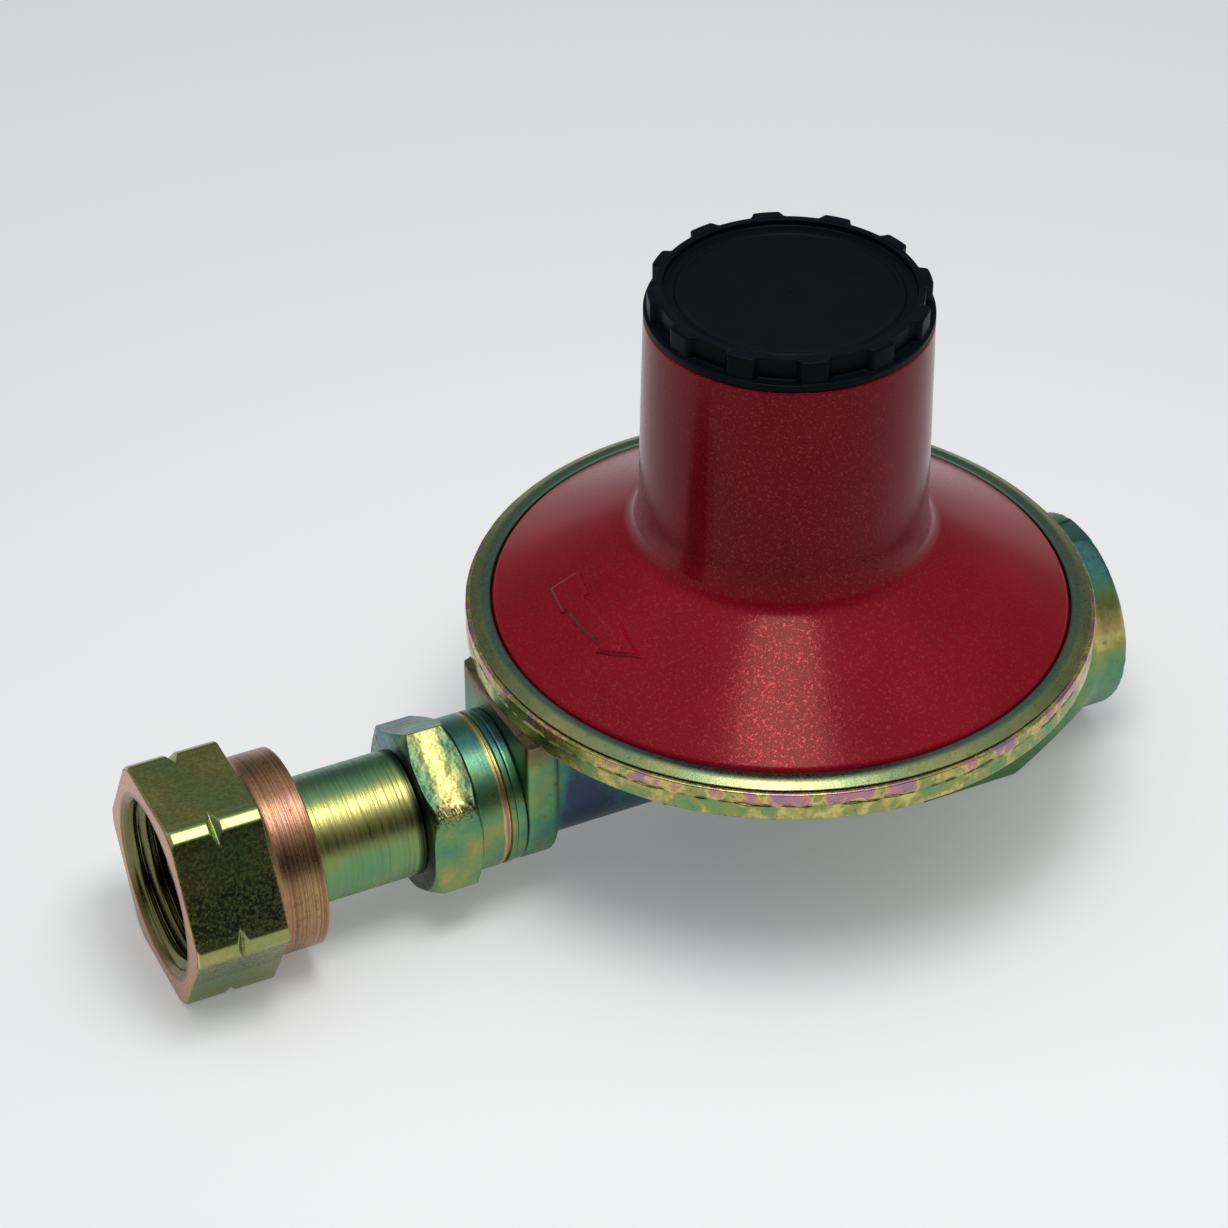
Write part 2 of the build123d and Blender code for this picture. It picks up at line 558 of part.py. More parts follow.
def relief_nut():
    """Nut that sets the relief spring."""
    top = RELIEF_NUT_Z + RELIEF_NUT
    hexagon = hexagon_z(RELIEF_NUT_FLATS, RELIEF_NUT_Z, top)
    return hexagon - rod_z(STEM_R + RUN_FIT, RELIEF_NUT_Z, top)


def spring_seat():
    """Upper spring seat with a boss inside the coil."""
    disc = rod_z(SEAT_R, SEAT_Z, SEAT_TOP_Z)
    return disc + rod_z(SEAT_BOSS_R, SEAT_Z - SEAT_BOSS_HEIGHT, SEAT_Z)


def adjusting_screw():
    """Threaded disc with a hexagon socket, pressing on the spring seat."""
    top = SCREW_BOTTOM_Z + SCREW_HEIGHT
    disc = rod_z(TOWER_BORE_R - THREAD_FIT, SCREW_BOTTOM_Z, top)
    point = rod_z(SCREW_POINT_R, SEAT_TOP_Z, SCREW_BOTTOM_Z)
    return disc + point - hexagon_z(SCREW_SOCKET_FLATS, top - SCREW_SOCKET_DEPTH, top)


def bonnet():
    """Cone and spring tower, with the flange that the body's lip holds down."""
    edge_r = RIM_BORE_R - BONNET_FLANGE_GAP
    cone_edge_z = LIP_TOP_Z + CONE_EDGE_RISE
    slope = (TOWER_FOOT_Z - cone_edge_z) / (CONE_EDGE_R - TOWER_FOOT_R)
    drop = BONNET_WALL * sqrt(1 + slope ** 2)
    inner_edge_z = cone_edge_z - drop + (CONE_EDGE_R - LEDGE_INNER_R) * slope
    chamber_z = cone_edge_z - drop + (CONE_EDGE_R - SPRING_CHAMBER_R) * slope
    thread_z = TOWER_TOP_Z - TOWER_THREAD_DEPTH
    pocket_z = TOWER_TOP_Z - SEAL_THICKNESS
    shell = turned_z([
        (LEDGE_INNER_R, FLANGE_Z), (edge_r, FLANGE_Z), (edge_r, FLANGE_TOP_Z),
        (CONE_EDGE_R, FLANGE_TOP_Z), (CONE_EDGE_R, cone_edge_z), (TOWER_FOOT_R, TOWER_FOOT_Z),
        (TOWER_LOW_R, TOWER_STRAIGHT_Z), (TOWER_TOP_R, TOWER_TOP_Z), (SEAL_POCKET_R, TOWER_TOP_Z),
        (SEAL_POCKET_R, pocket_z), (TOWER_BORE_R, pocket_z), (TOWER_BORE_R, thread_z),
        (SPRING_CHAMBER_R, thread_z), (SPRING_CHAMBER_R, chamber_z), (LEDGE_INNER_R, inner_edge_z)])
    vent = rod_y(VENT_R, 0, TOWER_FOOT_Z - VENT_DROP, SPRING_CHAMBER_R, RIM_R)
    return shell - vent


def cap_seal():
    """Rubber ring in the tower's pocket, under the cap's flange."""
    bottom = TOWER_TOP_Z - SEAL_THICKNESS
    ring = rod_z(SEAL_POCKET_R - CONTACT_GAP, bottom, TOWER_TOP_Z)
    return ring - rod_z(TOWER_BORE_R, bottom, TOWER_TOP_Z)


def cap():
    """Moulded screw cap with a raised rim and grip lugs around its edge."""
    spigot_r = TOWER_BORE_R - THREAD_FIT
    flange_top = TOWER_TOP_Z + CAP_FLANGE
    recess_z = CAP_TOP_Z - CAP_RECESS
    plate_z = recess_z - CAP_PLATE
    inner_r = spigot_r - CAP_SPIGOT_WALL
    shape = turned_z([
        (0, plate_z), (inner_r, plate_z), (inner_r, TOWER_TOP_Z - CAP_SPIGOT_DEPTH),
        (spigot_r, TOWER_TOP_Z - CAP_SPIGOT_DEPTH), (spigot_r, TOWER_TOP_Z),
        (CAP_FLANGE_R, TOWER_TOP_Z), (CAP_FLANGE_R, flange_top), (CAP_WALL_R, flange_top),
        (CAP_WALL_R, CAP_TOP_Z), (CAP_WALL_R - CAP_RIM_WALL, CAP_TOP_Z),
        (CAP_WALL_R - CAP_RIM_WALL, recess_z), (0, recess_z)])
    lug = block(CAP_LUG_ROOT_R, CAP_LUG_R, -CAP_LUG_WIDTH / 2, CAP_LUG_WIDTH / 2,
                flange_top, CAP_TOP_Z + CAP_LUG_RISE)
    for index in range(CAP_LUG_COUNT):
        shape += Rot(0, 0, CAP_LUG_TURN_DEG + index * 360 / CAP_LUG_COUNT) * lug
    return shape


def body():
    """Die-cast bowl with its rolled lip, inlet head and duct, and outlet block and boss."""
    dish_edge_r = RIM_R - RIM_UNDERCUT
    dish = turned_z([
        (0, DISH_BOTTOM_Z), (DISH_FOOT_R, DISH_BOTTOM_Z), (dish_edge_r, RIM_BOTTOM_Z),
        (RIM_R, RIM_BOTTOM_Z), (RIM_R, LIP_TOP_Z), (0, LIP_TOP_Z)])
    lip_edge = dish.edges().filter_by(GeomType.CIRCLE).group_by(Axis.Z)[-1]
    dish = fillet(lip_edge, LIP_ROUNDING)
    duct = channel(DUCT_R, HEAD_X + HEAD_LENGTH, OUTLET_BLOCK_INNER_X, RIM_BOTTOM_Z)
    head = channel(HEAD_HALF_WIDTH, HEAD_X, HEAD_X + HEAD_LENGTH, HEAD_TOP_Z)
    corners = head.edges().filter_by(Axis.X).group_by(Axis.Z)[-1]
    head = chamfer(corners, HEAD_BEVEL)
    keel = block(KEEL_INLET_X, 0, -KEEL_HALF_WIDTH, KEEL_HALF_WIDTH, KEEL_BOTTOM_Z, AXIS_Z)
    foot = rod_z(FOOT_R, 0, DISH_BOTTOM_Z)
    foot_rail = block(0, TROUGH_OUTLET_X, -FOOT_R, FOOT_R, 0, DISH_BOTTOM_Z)
    boss_root_x = OUTLET_END_X - OUTLET_BOSS_LENGTH
    taper_length = boss_root_x - OUTLET_BLOCK_INNER_X
    wide_r = OUTLET_BOSS_R + taper_length * tan(radians(OUTLET_TAPER_DEG))
    taper = turned_x([
        (OUTLET_BLOCK_INNER_X, 0), (OUTLET_BLOCK_INNER_X, wide_r), (boss_root_x, OUTLET_BOSS_R),
        (boss_root_x, 0)])
    square = block(OUTLET_BLOCK_INNER_X, boss_root_x, -AXIS_Z, AXIS_Z, 0, RIM_BOTTOM_Z)
    boss = rod_x(OUTLET_BOSS_R, TROUGH_OUTLET_X, OUTLET_END_X)
    solid = dish + duct + head + keel + foot + foot_rail + (taper & square) + boss

    slope = (RIM_BOTTOM_Z - DISH_BOTTOM_Z) / (dish_edge_r - DISH_FOOT_R)
    wall_rise = DISH_WALL * sqrt(1 + slope ** 2)
    floor_z = DISH_BOTTOM_Z + DISH_FLOOR
    floor_r = DISH_FOOT_R - (wall_rise - DISH_FLOOR) / slope
    step_z = DISH_BOTTOM_Z + wall_rise + (LEDGE_INNER_R - DISH_FOOT_R) * slope
    hollow = turned_z([
        (0, floor_z), (floor_r, floor_z), (LEDGE_INNER_R, step_z), (LEDGE_INNER_R, LEDGE_Z),
        (RIM_BORE_R, LEDGE_Z), (RIM_BORE_R, FLANGE_TOP_Z), (LIP_INNER_R, FLANGE_TOP_Z),
        (LIP_INNER_R, LIP_TOP_Z), (0, LIP_TOP_Z)])
    trough = channel(TROUGH_R, TROUGH_INLET_X, TROUGH_OUTLET_X, floor_z)
    recess_half = LEVER_EYE_R + FREE_GAP
    recess = block(PIVOT_X - recess_half, PIVOT_X + recess_half, -LEVER_EYE_RECESS, LEVER_EYE_RECESS,
                   PIVOT_Z - recess_half, AXIS_Z)
    pin_hole = rod_y(PIVOT_R, PIVOT_X, PIVOT_Z, -PIN_HALF_LENGTH, PIN_HALF_LENGTH)
    inlet_bore = rod_x(INLET_BORE_R, HEAD_X, INLET_BORE_END_X)
    nozzle_hole = rod_x(NOZZLE_THREAD_R, INLET_BORE_END_X, TROUGH_INLET_X)
    passage = rod_x(OUTLET_PASSAGE_R, TROUGH_OUTLET_X, OUTLET_THREAD_X)
    outlet_bore = rod_x(OUTLET_THREAD_R, OUTLET_THREAD_X, OUTLET_END_X)
    solid = solid - hollow - trough - recess - pin_hole
    return solid - inlet_bore - nozzle_hole - passage - outlet_bore


PIECES = {
    "body": body,
    "bonnet": bonnet,
    "cap": cap,
    "cap_seal": cap_seal,
    "adjusting_screw": adjusting_screw,
    "spring_seat": spring_seat,
    "upper_diaphragm_plate": upper_diaphragm_plate,
    "lower_diaphragm_plate": lower_diaphragm_plate,
    "diaphragm": diaphragm,
    "diaphragm_stem": diaphragm_stem,
    "relief_retainer": relief_retainer,
    "relief_nut": relief_nut,
    "lever": lever,
    "lever_pin": lever_pin,
    "valve_holder": valve_holder,
    "valve_pad": valve_pad,
    "valve_guide": valve_guide,
    "nozzle": nozzle,
    "nozzle_seal": nozzle_seal,
    "inlet_adapter": inlet_adapter,
    "adapter_seal": adapter_seal,
    "tail_tube": tail_tube,
    "inlet_filter": inlet_filter,
    "nose_gasket": nose_gasket,
    "slip_washer": slip_washer,
    "union_nut": union_nut,
}

os.makedirs("parts", exist_ok=True)
for name, make in PIECES.items():
    export_step(make(), f"parts/{name}.step")

main_spring_height = SEAT_Z - SPRING_FOOT_Z
export_step(coil(SPRING_MEAN_R, SPRING_WIRE_R, SPRING_FOOT_Z, main_spring_height, SPRING_TURNS),
            "parts/main_spring.step")
export_step(coil(RELIEF_SPRING_MEAN_R, RELIEF_WIRE_R, SPRING_FOOT_Z, RELIEF_SPRING_HEIGHT,
                 RELIEF_TURNS), "parts/relief_spring.step")
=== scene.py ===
import bmesh
import bpy
import numpy as np
from mathutils import Matrix, Vector


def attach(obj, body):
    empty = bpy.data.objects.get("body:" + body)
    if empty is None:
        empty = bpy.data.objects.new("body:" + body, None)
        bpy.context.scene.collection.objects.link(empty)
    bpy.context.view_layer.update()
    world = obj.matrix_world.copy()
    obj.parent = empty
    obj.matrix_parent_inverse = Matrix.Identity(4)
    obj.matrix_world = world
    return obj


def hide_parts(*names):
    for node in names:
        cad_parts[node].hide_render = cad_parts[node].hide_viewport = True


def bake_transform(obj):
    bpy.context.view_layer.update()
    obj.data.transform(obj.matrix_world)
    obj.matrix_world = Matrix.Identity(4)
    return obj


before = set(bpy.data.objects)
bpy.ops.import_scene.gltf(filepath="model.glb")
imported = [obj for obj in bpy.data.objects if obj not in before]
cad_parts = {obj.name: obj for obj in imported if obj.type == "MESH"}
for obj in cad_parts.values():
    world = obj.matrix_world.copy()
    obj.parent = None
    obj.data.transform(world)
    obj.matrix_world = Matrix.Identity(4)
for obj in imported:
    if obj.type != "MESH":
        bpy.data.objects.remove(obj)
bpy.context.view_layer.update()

# Dressing of the gas regulator: cast body, red bonnet, grip cap, and turned inlet with a left-hand nut.
# Shapes are worked out in millimetres, with X along the gas flow and Z up the spring tower.

MM = 0.001
FULL_TURN = 2 * np.pi
AXIS_Z = 12.5

# Camera, as the photograph was taken, closer in by the zoom
PHOTO_SIDE = 1228
PHOTO_FOCAL = 1419.5
ZOOM = 2.6
SENSOR_WIDTH = 36
CAMERA_PLACE = (-168.9, -304.9, 287.1)
CAMERA_FORWARD = (0.3474, 0.7193, -0.6016)
CAMERA_UP = (0.2615, 0.5417, 0.7988)

# Light: a soft box with its size in metres, the tent's tones, and the floor with its half width in metres.
# The tent's heights are sines of the elevation.
SOFT_BOX_PLACE = (-26, -60, 270)
SOFT_BOX_SIZE = (0.095, 0.135)
SOFT_BOX_WATTS = 0.27
TENT_HORIZON = (0.62, 0.63, 0.64)
TENT_BAND = [(0.0, (0.01, 0.01, 0.01)), (0.20, (0.02, 0.02, 0.02)), (0.42, (0.40, 0.41, 0.42)),
             (0.60, (0.34, 0.35, 0.36)), (0.80, (0.20, 0.21, 0.21)), (1.0, (0.20, 0.21, 0.21))]
TENT_TOP = (0.74, 0.76, 0.78)
HORIZON_TOP = (0.09, 0.13)
BAND_TOP = (0.62, 0.88)
FLOOR_HALF = 12
FLOOR_SEEN = (0.88, 0.88, 0.88)
FLOOR_BOUNCE = (0.34, 0.34, 0.34)
FLOOR_GLOW = 0.20

# Tones of the plated film, from its thinnest, of the stains on it, and of the painted shade and painted dark
# reflection on it
FILM_TONES = [
    (0.0, (0.055, 0.080, 0.140)), (0.15, (0.065, 0.210, 0.185)), (0.32, (0.150, 0.300, 0.130)),
    (0.47, (0.310, 0.310, 0.100)), (0.62, (0.600, 0.530, 0.180)), (0.76, (0.560, 0.300, 0.170)),
    (0.90, (0.460, 0.220, 0.270)), (1.0, (0.300, 0.220, 0.320))]
HEAD_BROWN = (0.17, 0.09, 0.045)
CAST_SPOTS = (0.05, 0.06, 0.045)
LIP_GREY = (0.15, 0.20, 0.17)
RIM_STAINS = (0.07, 0.08, 0.06)
NUT_STAINS = (0.15, 0.075, 0.035)
NUT_MOTTLE_AND_SHADE = (0.045, 0.065, 0.045)
NUT_BORE_SHADE = (0.12, 0.085, 0.05)
NUT_CUT_LINES = (0.13, 0.055, 0.03)
COLLAR_COPPER = (0.20, 0.10, 0.05)
TUBE_CUT_LINES = (0.10, 0.13, 0.07)
TUBE_JOIN_SHADE = (0.02, 0.025, 0.018)
ADAPTER_DARK_REFLECTION = (0.03, 0.065, 0.045)
ADAPTER_JOIN_SHADE = (0.018, 0.022, 0.016)
BRUISE_BROWN = (0.05, 0.03, 0.02)

# Tones of paint, plastic and rubber
PAINT_TONES = ((0.235, 0.003, 0.013), (0.285, 0.005, 0.018))
PAINT_FLAKES = (0.60, 0.22, 0.19)
PAINT_GLOSS = (1.0, 0.50, 0.44, 1)
PLASTIC_TONES = ((0.0012, 0.0022, 0.0035), (0.003, 0.0055, 0.0085))
RUBBER_TONES = ((0.012, 0.012, 0.013), (0.045, 0.045, 0.046))

# Bare metals: bright and dull tone, least and most roughness, and the sizes of clouds and grain
METALS = {
    "brass": ((0.80, 0.60, 0.28), (0.58, 0.40, 0.16), 0.22, 0.38, 3.0, 0.15),
    "bright_steel": ((0.68, 0.69, 0.70), (0.50, 0.51, 0.52), 0.24, 0.40, 3.0, 0.15),
    "spring_steel": ((0.46, 0.45, 0.44), (0.30, 0.29, 0.28), 0.28, 0.44, 3.0, 0.15),
    "copper": ((0.74, 0.40, 0.27), (0.48, 0.22, 0.14), 0.28, 0.46, 3.0, 0.15),
    "sintered_bronze": ((0.60, 0.42, 0.22), (0.26, 0.17, 0.09), 0.45, 0.65, 0.8, 0.4)}

# Where the casting's film changes; the outlet boss also carries a painted highlight, and the duct carries
# painted shade under the rim
BOSS_FROM_X = (36.0, 37.5)
HEAD_FROM_X = (-30.5, -31.5)
HEAD_TOP_FROM_Z = (20.5, 23.0)
DUCT_FROM_X = (-3.0, -8.0)
DUCT_WITHIN_R = (33.0, 31.5)

# Cast body and its rolled rim. Waves round the rim are (waves in a turn, height, phase).
RIM_R = 36.9
RIM_BOTTOM_Z = 24.2
LIP_TOP_Z = 28.8
LIP_INNER_R = 33.9
LIP_OUTER_R = 36.5
LIP_GROOVE_R = 36.05
LIP_GROOVE_Z = 28.08
LIP_GROOVE_HALF = 0.13
LIP_SLOPE = (1.25, 0.55)
PARTING_LINE_Z = 26.5
RIM_PROUD = 0.07
RIM_ROOT_R = 35.7
RIM_ROOT_Z = 27.7
CAST_GRAIN = 0.42
CAST_SHARE_KEPT = 0.75
MERGE_WITHIN = 1e-6
LINE_SWAY = [(5, 0.07, 1.3), (13, 0.05, 0.4), (37, 0.06, 2.1), (83, 0.04, 0.9)]
LINE_FADE = [(17, 0.6, 0.2), (41, 0.6, 1.9), (97, 0.6, 4.0)]
LINE_WIDTH = 0.14
RIM_DENTS = [(19, 0.5, 0.1), (53, 0.4, 3.3), (7, 0.6, 5.0)]
LIP_WEAR = [(11, 0.7, 2.2), (31, 0.5, 0.6), (61, 0.4, 4.4)]

# Bonnet
BONNET_FLANGE_R = 34.9
BONNET_FLANGE_Z = 25.7
BONNET_FLANGE_TOP_Z = 27.5
LEDGE_INNER_R = 30.5
CONE_R = 33.8
CONE_Z = 28.9
TOWER_FOOT_R = 17.3
TOWER_FOOT_Z = 38.7
TOWER_LOW_R = 16.75
TOWER_LOW_Z = 42.0
TOWER_TOP_R = 16.3
TOWER_TOP_Z = 67.0
CONE_SLOPE = (TOWER_FOOT_Z - CONE_Z) / (CONE_R - TOWER_FOOT_R)
BONNET_WALL = 2.3
BONNET_WALL_DROP = BONNET_WALL * np.sqrt(1 + CONE_SLOPE ** 2)
SEAL_POCKET_R = 15.0
SEAL_POCKET_Z = 66.1
TOWER_BORE_R = 13.9
SPRING_CHAMBER_R = 13.2
TOWER_THREAD_Z = 45.0
BONNET_STEPS = 6
BONNET_SHARP_DEG = 40
VENT_R = 0.8
VENT_Z = 34.0
VENT_DRILL_Y = (14, 44)
MOULD_LINE_DEG = 210
MOULD_LINE_RISE = 0.022
MOULD_LINE_WIDTH = 0.5

# Raised flow arrow on the cone, placed in degrees round the tower
ARROW_R = 25.7
ARROW_TAIL_DEG = 165.7
ARROW_NOTCH_DEG = 176.3
ARROW_HEAD_DEG = 192.8
ARROW_TIP_DEG = 204.6
ARROW_TAIL_HALF = 1.8
ARROW_SHAFT_HALF = 1.25
ARROW_HEAD_HALF = 2.0
ARROW_RISE = 0.42
ARROW_ROOT = 0.3

# Screw cap
CAP_FACE_Z = 69.7
CAP_TOP_Z = 70.5
CAP_LUG_TOP_Z = 70.6
CAP_WALL_R = 15.0
CAP_LUG_R = 15.95
CAP_LUG_COUNT = 12
CAP_LUG_HALF = 1.7
CAP_LUG_TURN_DEG = 12
CAP_RECESS_R = 14.2
CAP_RING_R = (12.3, 12.8)
CAP_RING_RISE = 0.14
CAP_FLANGE_R = 16.3
CAP_FLANGE_Z = 67.9
CAP_PLATE_Z = 67.9
CAP_SPIGOT_R = 13.8
CAP_SPIGOT_INNER_R = 11.6
CAP_SPIGOT_Z = 63.0

# Union nut
NUT_MOUTH_X = -79.2
NUT_COLLAR_X = -68.3
NUT_END_X = -62.6
NUT_SHOULDER_X = -66.5
NUT_RELIEF_X = -71.7
NUT_FACE_R = 12.5
NUT_CORNER_R = 14.05
NUT_MOUTH_CORNER_R = 13.8
NUT_COLLAR_R = 11.7
NUT_BORE_R = 10.0
NUT_RELIEF_R = 10.3
NUT_MOUTH_BORE_R = 10.6
NUT_SLEEVE_R = 7.6
NUT_THREAD_PITCH = 25.4 / 14
NUT_THREAD_DEPTH = 1.05
NOTCH_X = -73.75
NOTCH_DEPTH = 0.68

# Outlet thread
OUTLET_END_X = 41.8
OUTLET_THREAD_X = 29.8
OUTLET_THREAD_R = 8.33
OUTLET_THREAD_PITCH = 1.337
OUTLET_THREAD_DEPTH = 0.8

# Inlet adapter, tube and seals
ADAPTER_FACE_R = 9.5
ADAPTER_HEX_X = (-48.8, -42.7)
BRUISE_DEG = 300
BRUISE_DEPTH = 0.3
BRUISE_HALF = 0.75
ADAPTER_NECK_R = 9.2
ADAPTER_SHOULDER_X = -38.2
ADAPTER_END_X = -31.6
ADAPTER_SPIGOT_R = 5.95
ADAPTER_BORE_R = 3.2
ADAPTER_SOCKET_X = -43.8
ADAPTER_SOCKET_R = 5.55
GROOVE_X = (-39.4, -38.9)
GROOVE_DEPTH = 0.5
TUBE_NOSE_X = -71.4
TUBE_FLANGE_X = (-69.6, -67.1)
TUBE_FLANGE_R = 8.7
TUBE_R = 7.5
TUBE_BORE_R = 4.5
TUBE_NOSE_R = 5.4
TUBE_END_R = 5.5
TUBE_NECK_X = -51.1
GASKET_R = 8.6
GASKET_BORE_R = 5.45
WASHER_R = 9.6
WASHER_BORE_R = 7.6
SEAL_R = 9.1
SEAL_BORE_R = 6.0
HEAD_X = -36.9

# Springs, with their wire's rows in a turn and columns round it, and diaphragm
PLATE_TOP_Z = 22.9
SEAT_UNDER_Z = 51.2
MAIN_COIL_R = 10.4
MAIN_WIRE_R = 1.1
MAIN_TURNS = 6
MAIN_FOOT_SHARE = 0.3
RETAINER_UNDER_Z = 29.6
RELIEF_COIL_R = 3.6
RELIEF_WIRE_R = 0.4
RELIEF_TURNS = 5
COIL_ROWS = 60
WIRE_COLUMNS = 20
DIAPHRAGM_HOLE_R = 2.5
DIAPHRAGM_FLAT_R = 20.0
DIAPHRAGM_LEDGE_R = 29.5
DIAPHRAGM_LOW_Z = 21.0
DIAPHRAGM_EDGE_Z = 24.7
DIAPHRAGM_THICKNESS = 1.0


# Shapes

def smooth_step(value, low, high):
    """0 below low and 1 above high, with the cubic 3t^2 - 2t^3 between."""
    share = np.clip((value - low) / (high - low), 0, 1)
    return share * share * (3 - 2 * share)


def soft_min(first, second, width):
    """The smaller of two values, with their crossing rounded over the width given."""
    share = np.clip(0.5 + 0.5 * (second - first) / width, 0, 1)
    return second * (1 - share) + first * share - width * share * (1 - share)


def waver(angle, terms):
    """Sum of sines round the circle. Each term is (waves in a turn, height, phase)."""
    waves, height, phase = np.array(terms).T[:, :, None]
    return np.sum(height * np.sin(waves * np.ravel(angle) + phase), axis=0)


def rounded(corners, reach, steps=5):
    """Closed outline with rounded corners: each is a parabola from a point before it to a point after it.

    One more point just beyond each end of the parabola keeps the straight sides straight.
    """
    corners = np.array(corners, float)
    reach = np.broadcast_to(np.array(reach, float), len(corners))[:, None]
    before = np.roll(corners, 1, axis=0) - corners
    after = np.roll(corners, -1, axis=0) - corners
    length_before = np.linalg.norm(before, axis=1, keepdims=True)
    length_after = np.linalg.norm(after, axis=1, keepdims=True)
    reach = np.minimum(reach, 0.42 * np.minimum(length_before, length_after))
    start = before / length_before * reach
    end = after / length_after * reach
    share = np.linspace(0, 1, steps)[:, None, None]
    curve = corners + (1 - share) ** 2 * start + share ** 2 * end
    guarded = np.concatenate([corners + 1.15 * start[None], curve, corners + 1.15 * end[None]])
    return guarded.transpose(1, 0, 2).reshape(-1, 2)


def column_angles(columns):
    """Angles of a grid's columns."""
    return np.linspace(0, FULL_TURN, columns, endpoint=False)


def turned_z(radius, height, columns=320):
    """Grid of an outline turned about the tower's axis. Radius and height may differ round the turn."""
    angle = column_angles(columns)
    radius, height = np.broadcast_arrays(radius + 0 * angle, height)
    return np.stack([radius * np.cos(angle), radius * np.sin(angle), height], axis=-1)


def turned_x(x, radius, columns=320):
    """Grid of an outline turned about the flow axis, with the angle measured from the top."""
    angle = column_angles(columns)
    x, radius = np.broadcast_arrays(x, radius + 0 * angle)
    return np.stack([x, radius * np.sin(angle), AXIS_Z + radius * np.cos(angle)], axis=-1)


def thread_ridge(phase, steepness):
    """Height of a thread, 0 to 1: highest where the helix's phase is 1/2, with even slopes to both sides."""
    return np.clip(steepness * (0.5 - np.abs(phase % 1 - 0.5)), 0, 1)


def skin(name, grid, finish, body, *nodes, poles=False, slot=None):
    """Closed mesh over a grid of points. Columns join round, and rows join last to first or end in poles.

    Each cell of the grid is cut into two triangles, those of no area are left out, and the whole
    is turned over if its signed volume is negative.
    """
    rows, columns = grid.shape[:2]
    index = np.arange(rows * columns).reshape(rows, columns)
    if poles:
        index[0], index[-1] = index[0, 0], index[-1, 0]
        near, far = index[:-1], index[1:]
    else:
        near, far = index, np.roll(index, -1, axis=0)
    beside = np.roll(near, -1, axis=1), np.roll(far, -1, axis=1)
    faces = np.concatenate([
        np.stack([near, far, beside[1]], axis=-1).reshape(-1, 3),
        np.stack([near, beside[1], beside[0]], axis=-1).reshape(-1, 3)])
    distinct = (faces[:, 0] != faces[:, 1]) & (faces[:, 1] != faces[:, 2]) & (faces[:, 2] != faces[:, 0])
    used, faces = np.unique(faces[distinct], return_inverse=True)
    faces = faces.reshape(-1, 3)
    points = grid.reshape(-1, 3)[used] * MM
    first, second, third = points[faces].transpose(1, 0, 2)
    if np.sum(first * np.cross(second, third)) < 0:
        faces = faces[:, ::-1]
    mesh = bpy.data.meshes.new(name)
    mesh.from_pydata(points, [], faces)
    mesh.shade_smooth()
    return add_piece(name, mesh, finish, body, *nodes, slot=slot)


def add_piece(name, mesh, finish, body, *nodes, slot=None):
    """Puts a finished mesh into the scene as a piece of the regulator, with its finish as material. Its slot
    is not used.

    Its body is a name, which it is attached to, or for a piece that gives way, two names and two heights,
    which are not used: such a piece only has its transform baked in.
    """
    piece = bpy.data.objects.new(name, mesh)
    bpy.context.scene.collection.objects.link(piece)
    mesh.materials.clear()
    mesh.materials.append(FINISHES[finish])
    if isinstance(body, str):
        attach(piece, body)
    else:
        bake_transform(piece)
    if nodes:
        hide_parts(*nodes)
    return piece


def baked(piece):
    """The mesh of an object with its modifiers applied."""
    graph = bpy.context.evaluated_depsgraph_get()
    return bpy.data.meshes.new_from_object(piece.evaluated_get(graph))


# Node trees

def plug(socket, value):
    """Links another node's output to a socket, or writes a plain value in it."""
    if isinstance(value, bpy.types.NodeSocket):
        socket.id_data.links.new(value, socket)
    else:
        socket.default_value = value


def node(tree, kind, inputs=(), **settings):
    """Adds a shader node. Settings name its own properties, or its sockets with _ for a space."""
    made = tree.nodes.new("ShaderNode" + kind)
    for key, value in settings.items():
        if hasattr(made, key):
            setattr(made, key, value)
        else:
            plug(made.inputs[key.replace("_", " ")], value)
    for socket, value in zip(made.inputs, inputs):
        plug(socket, value)
    return made


def maths(operation, *inputs):
    """The result of a Math node, in the tree of its first input that is linked."""
    tree = next(value.id_data for value in inputs if isinstance(value, bpy.types.NodeSocket))
    return node(tree, "Math", inputs, operation=operation).outputs[0]


def minus(first, second):
    """Difference of two values."""
    return maths("SUBTRACT", first, second)


def times(first, *factors):
    """Product of values."""
    for factor in factors:
        first = maths("MULTIPLY", first, factor)
    return first


def total(first, *terms):
    """Sum of a number and terms, each a value or a (value, factor) pair."""
    for term in terms:
        if isinstance(term, tuple):
            term = times(*term)
        first = maths("ADD", term, first)
    return first


def hypotenuse(first, second):
    """Square root of the sum of two squares."""
    return maths("SQRT", maths("ADD", times(first, first), times(second, second)))


def bell(value, middle, width):
    """1 at the middle and falling to both sides, as exp(-((value - middle) / width)^2)."""
    off_middle = maths("DIVIDE", minus(value, middle), width)
    return maths("EXPONENT", times(off_middle, off_middle, -1.0))


def scale(value, low, high, new_low=0.0, new_high=1.0):
    """Value carried from one range to another and held inside it."""
    return node(value.id_data, "MapRange", (value, low, high, new_low, new_high)).outputs[0]


def blend(share, first, second):
    """Colour between two colours."""
    mix = node(share.id_data, "Mix", data_type="RGBA")
    for place, value in ((0, share), (6, first), (7, second)):
        plug(mix.inputs[place], (*value, 1) if isinstance(value, tuple) else value)
    return mix.outputs[2]


def ramp(share, stops):
    """Colour from a row of (place, colour) stops."""
    made = node(share.id_data, "ValToRGB", (share,))
    elements = made.color_ramp.elements
    while len(elements) < len(stops):
        elements.new(0.5)
    for element, (place, colour) in zip(elements, stops):
        element.position = place
        element.color = (*colour, 1)
    return made.outputs[0]


def noise(place, size, detail, rough=0.5):
    """Soft noise with features of about the size given, in millimetres."""
    return node(place.id_data, "TexNoise", Vector=place, Scale=1 / (size * MM), Detail=detail,
                Roughness=rough).outputs[0]


def bump(height, depth, strength):
    """Normal of a height pattern, its depth in millimetres."""
    return node(height.id_data, "Bump", Height=height, Distance=depth * MM, Strength=strength).outputs[0]


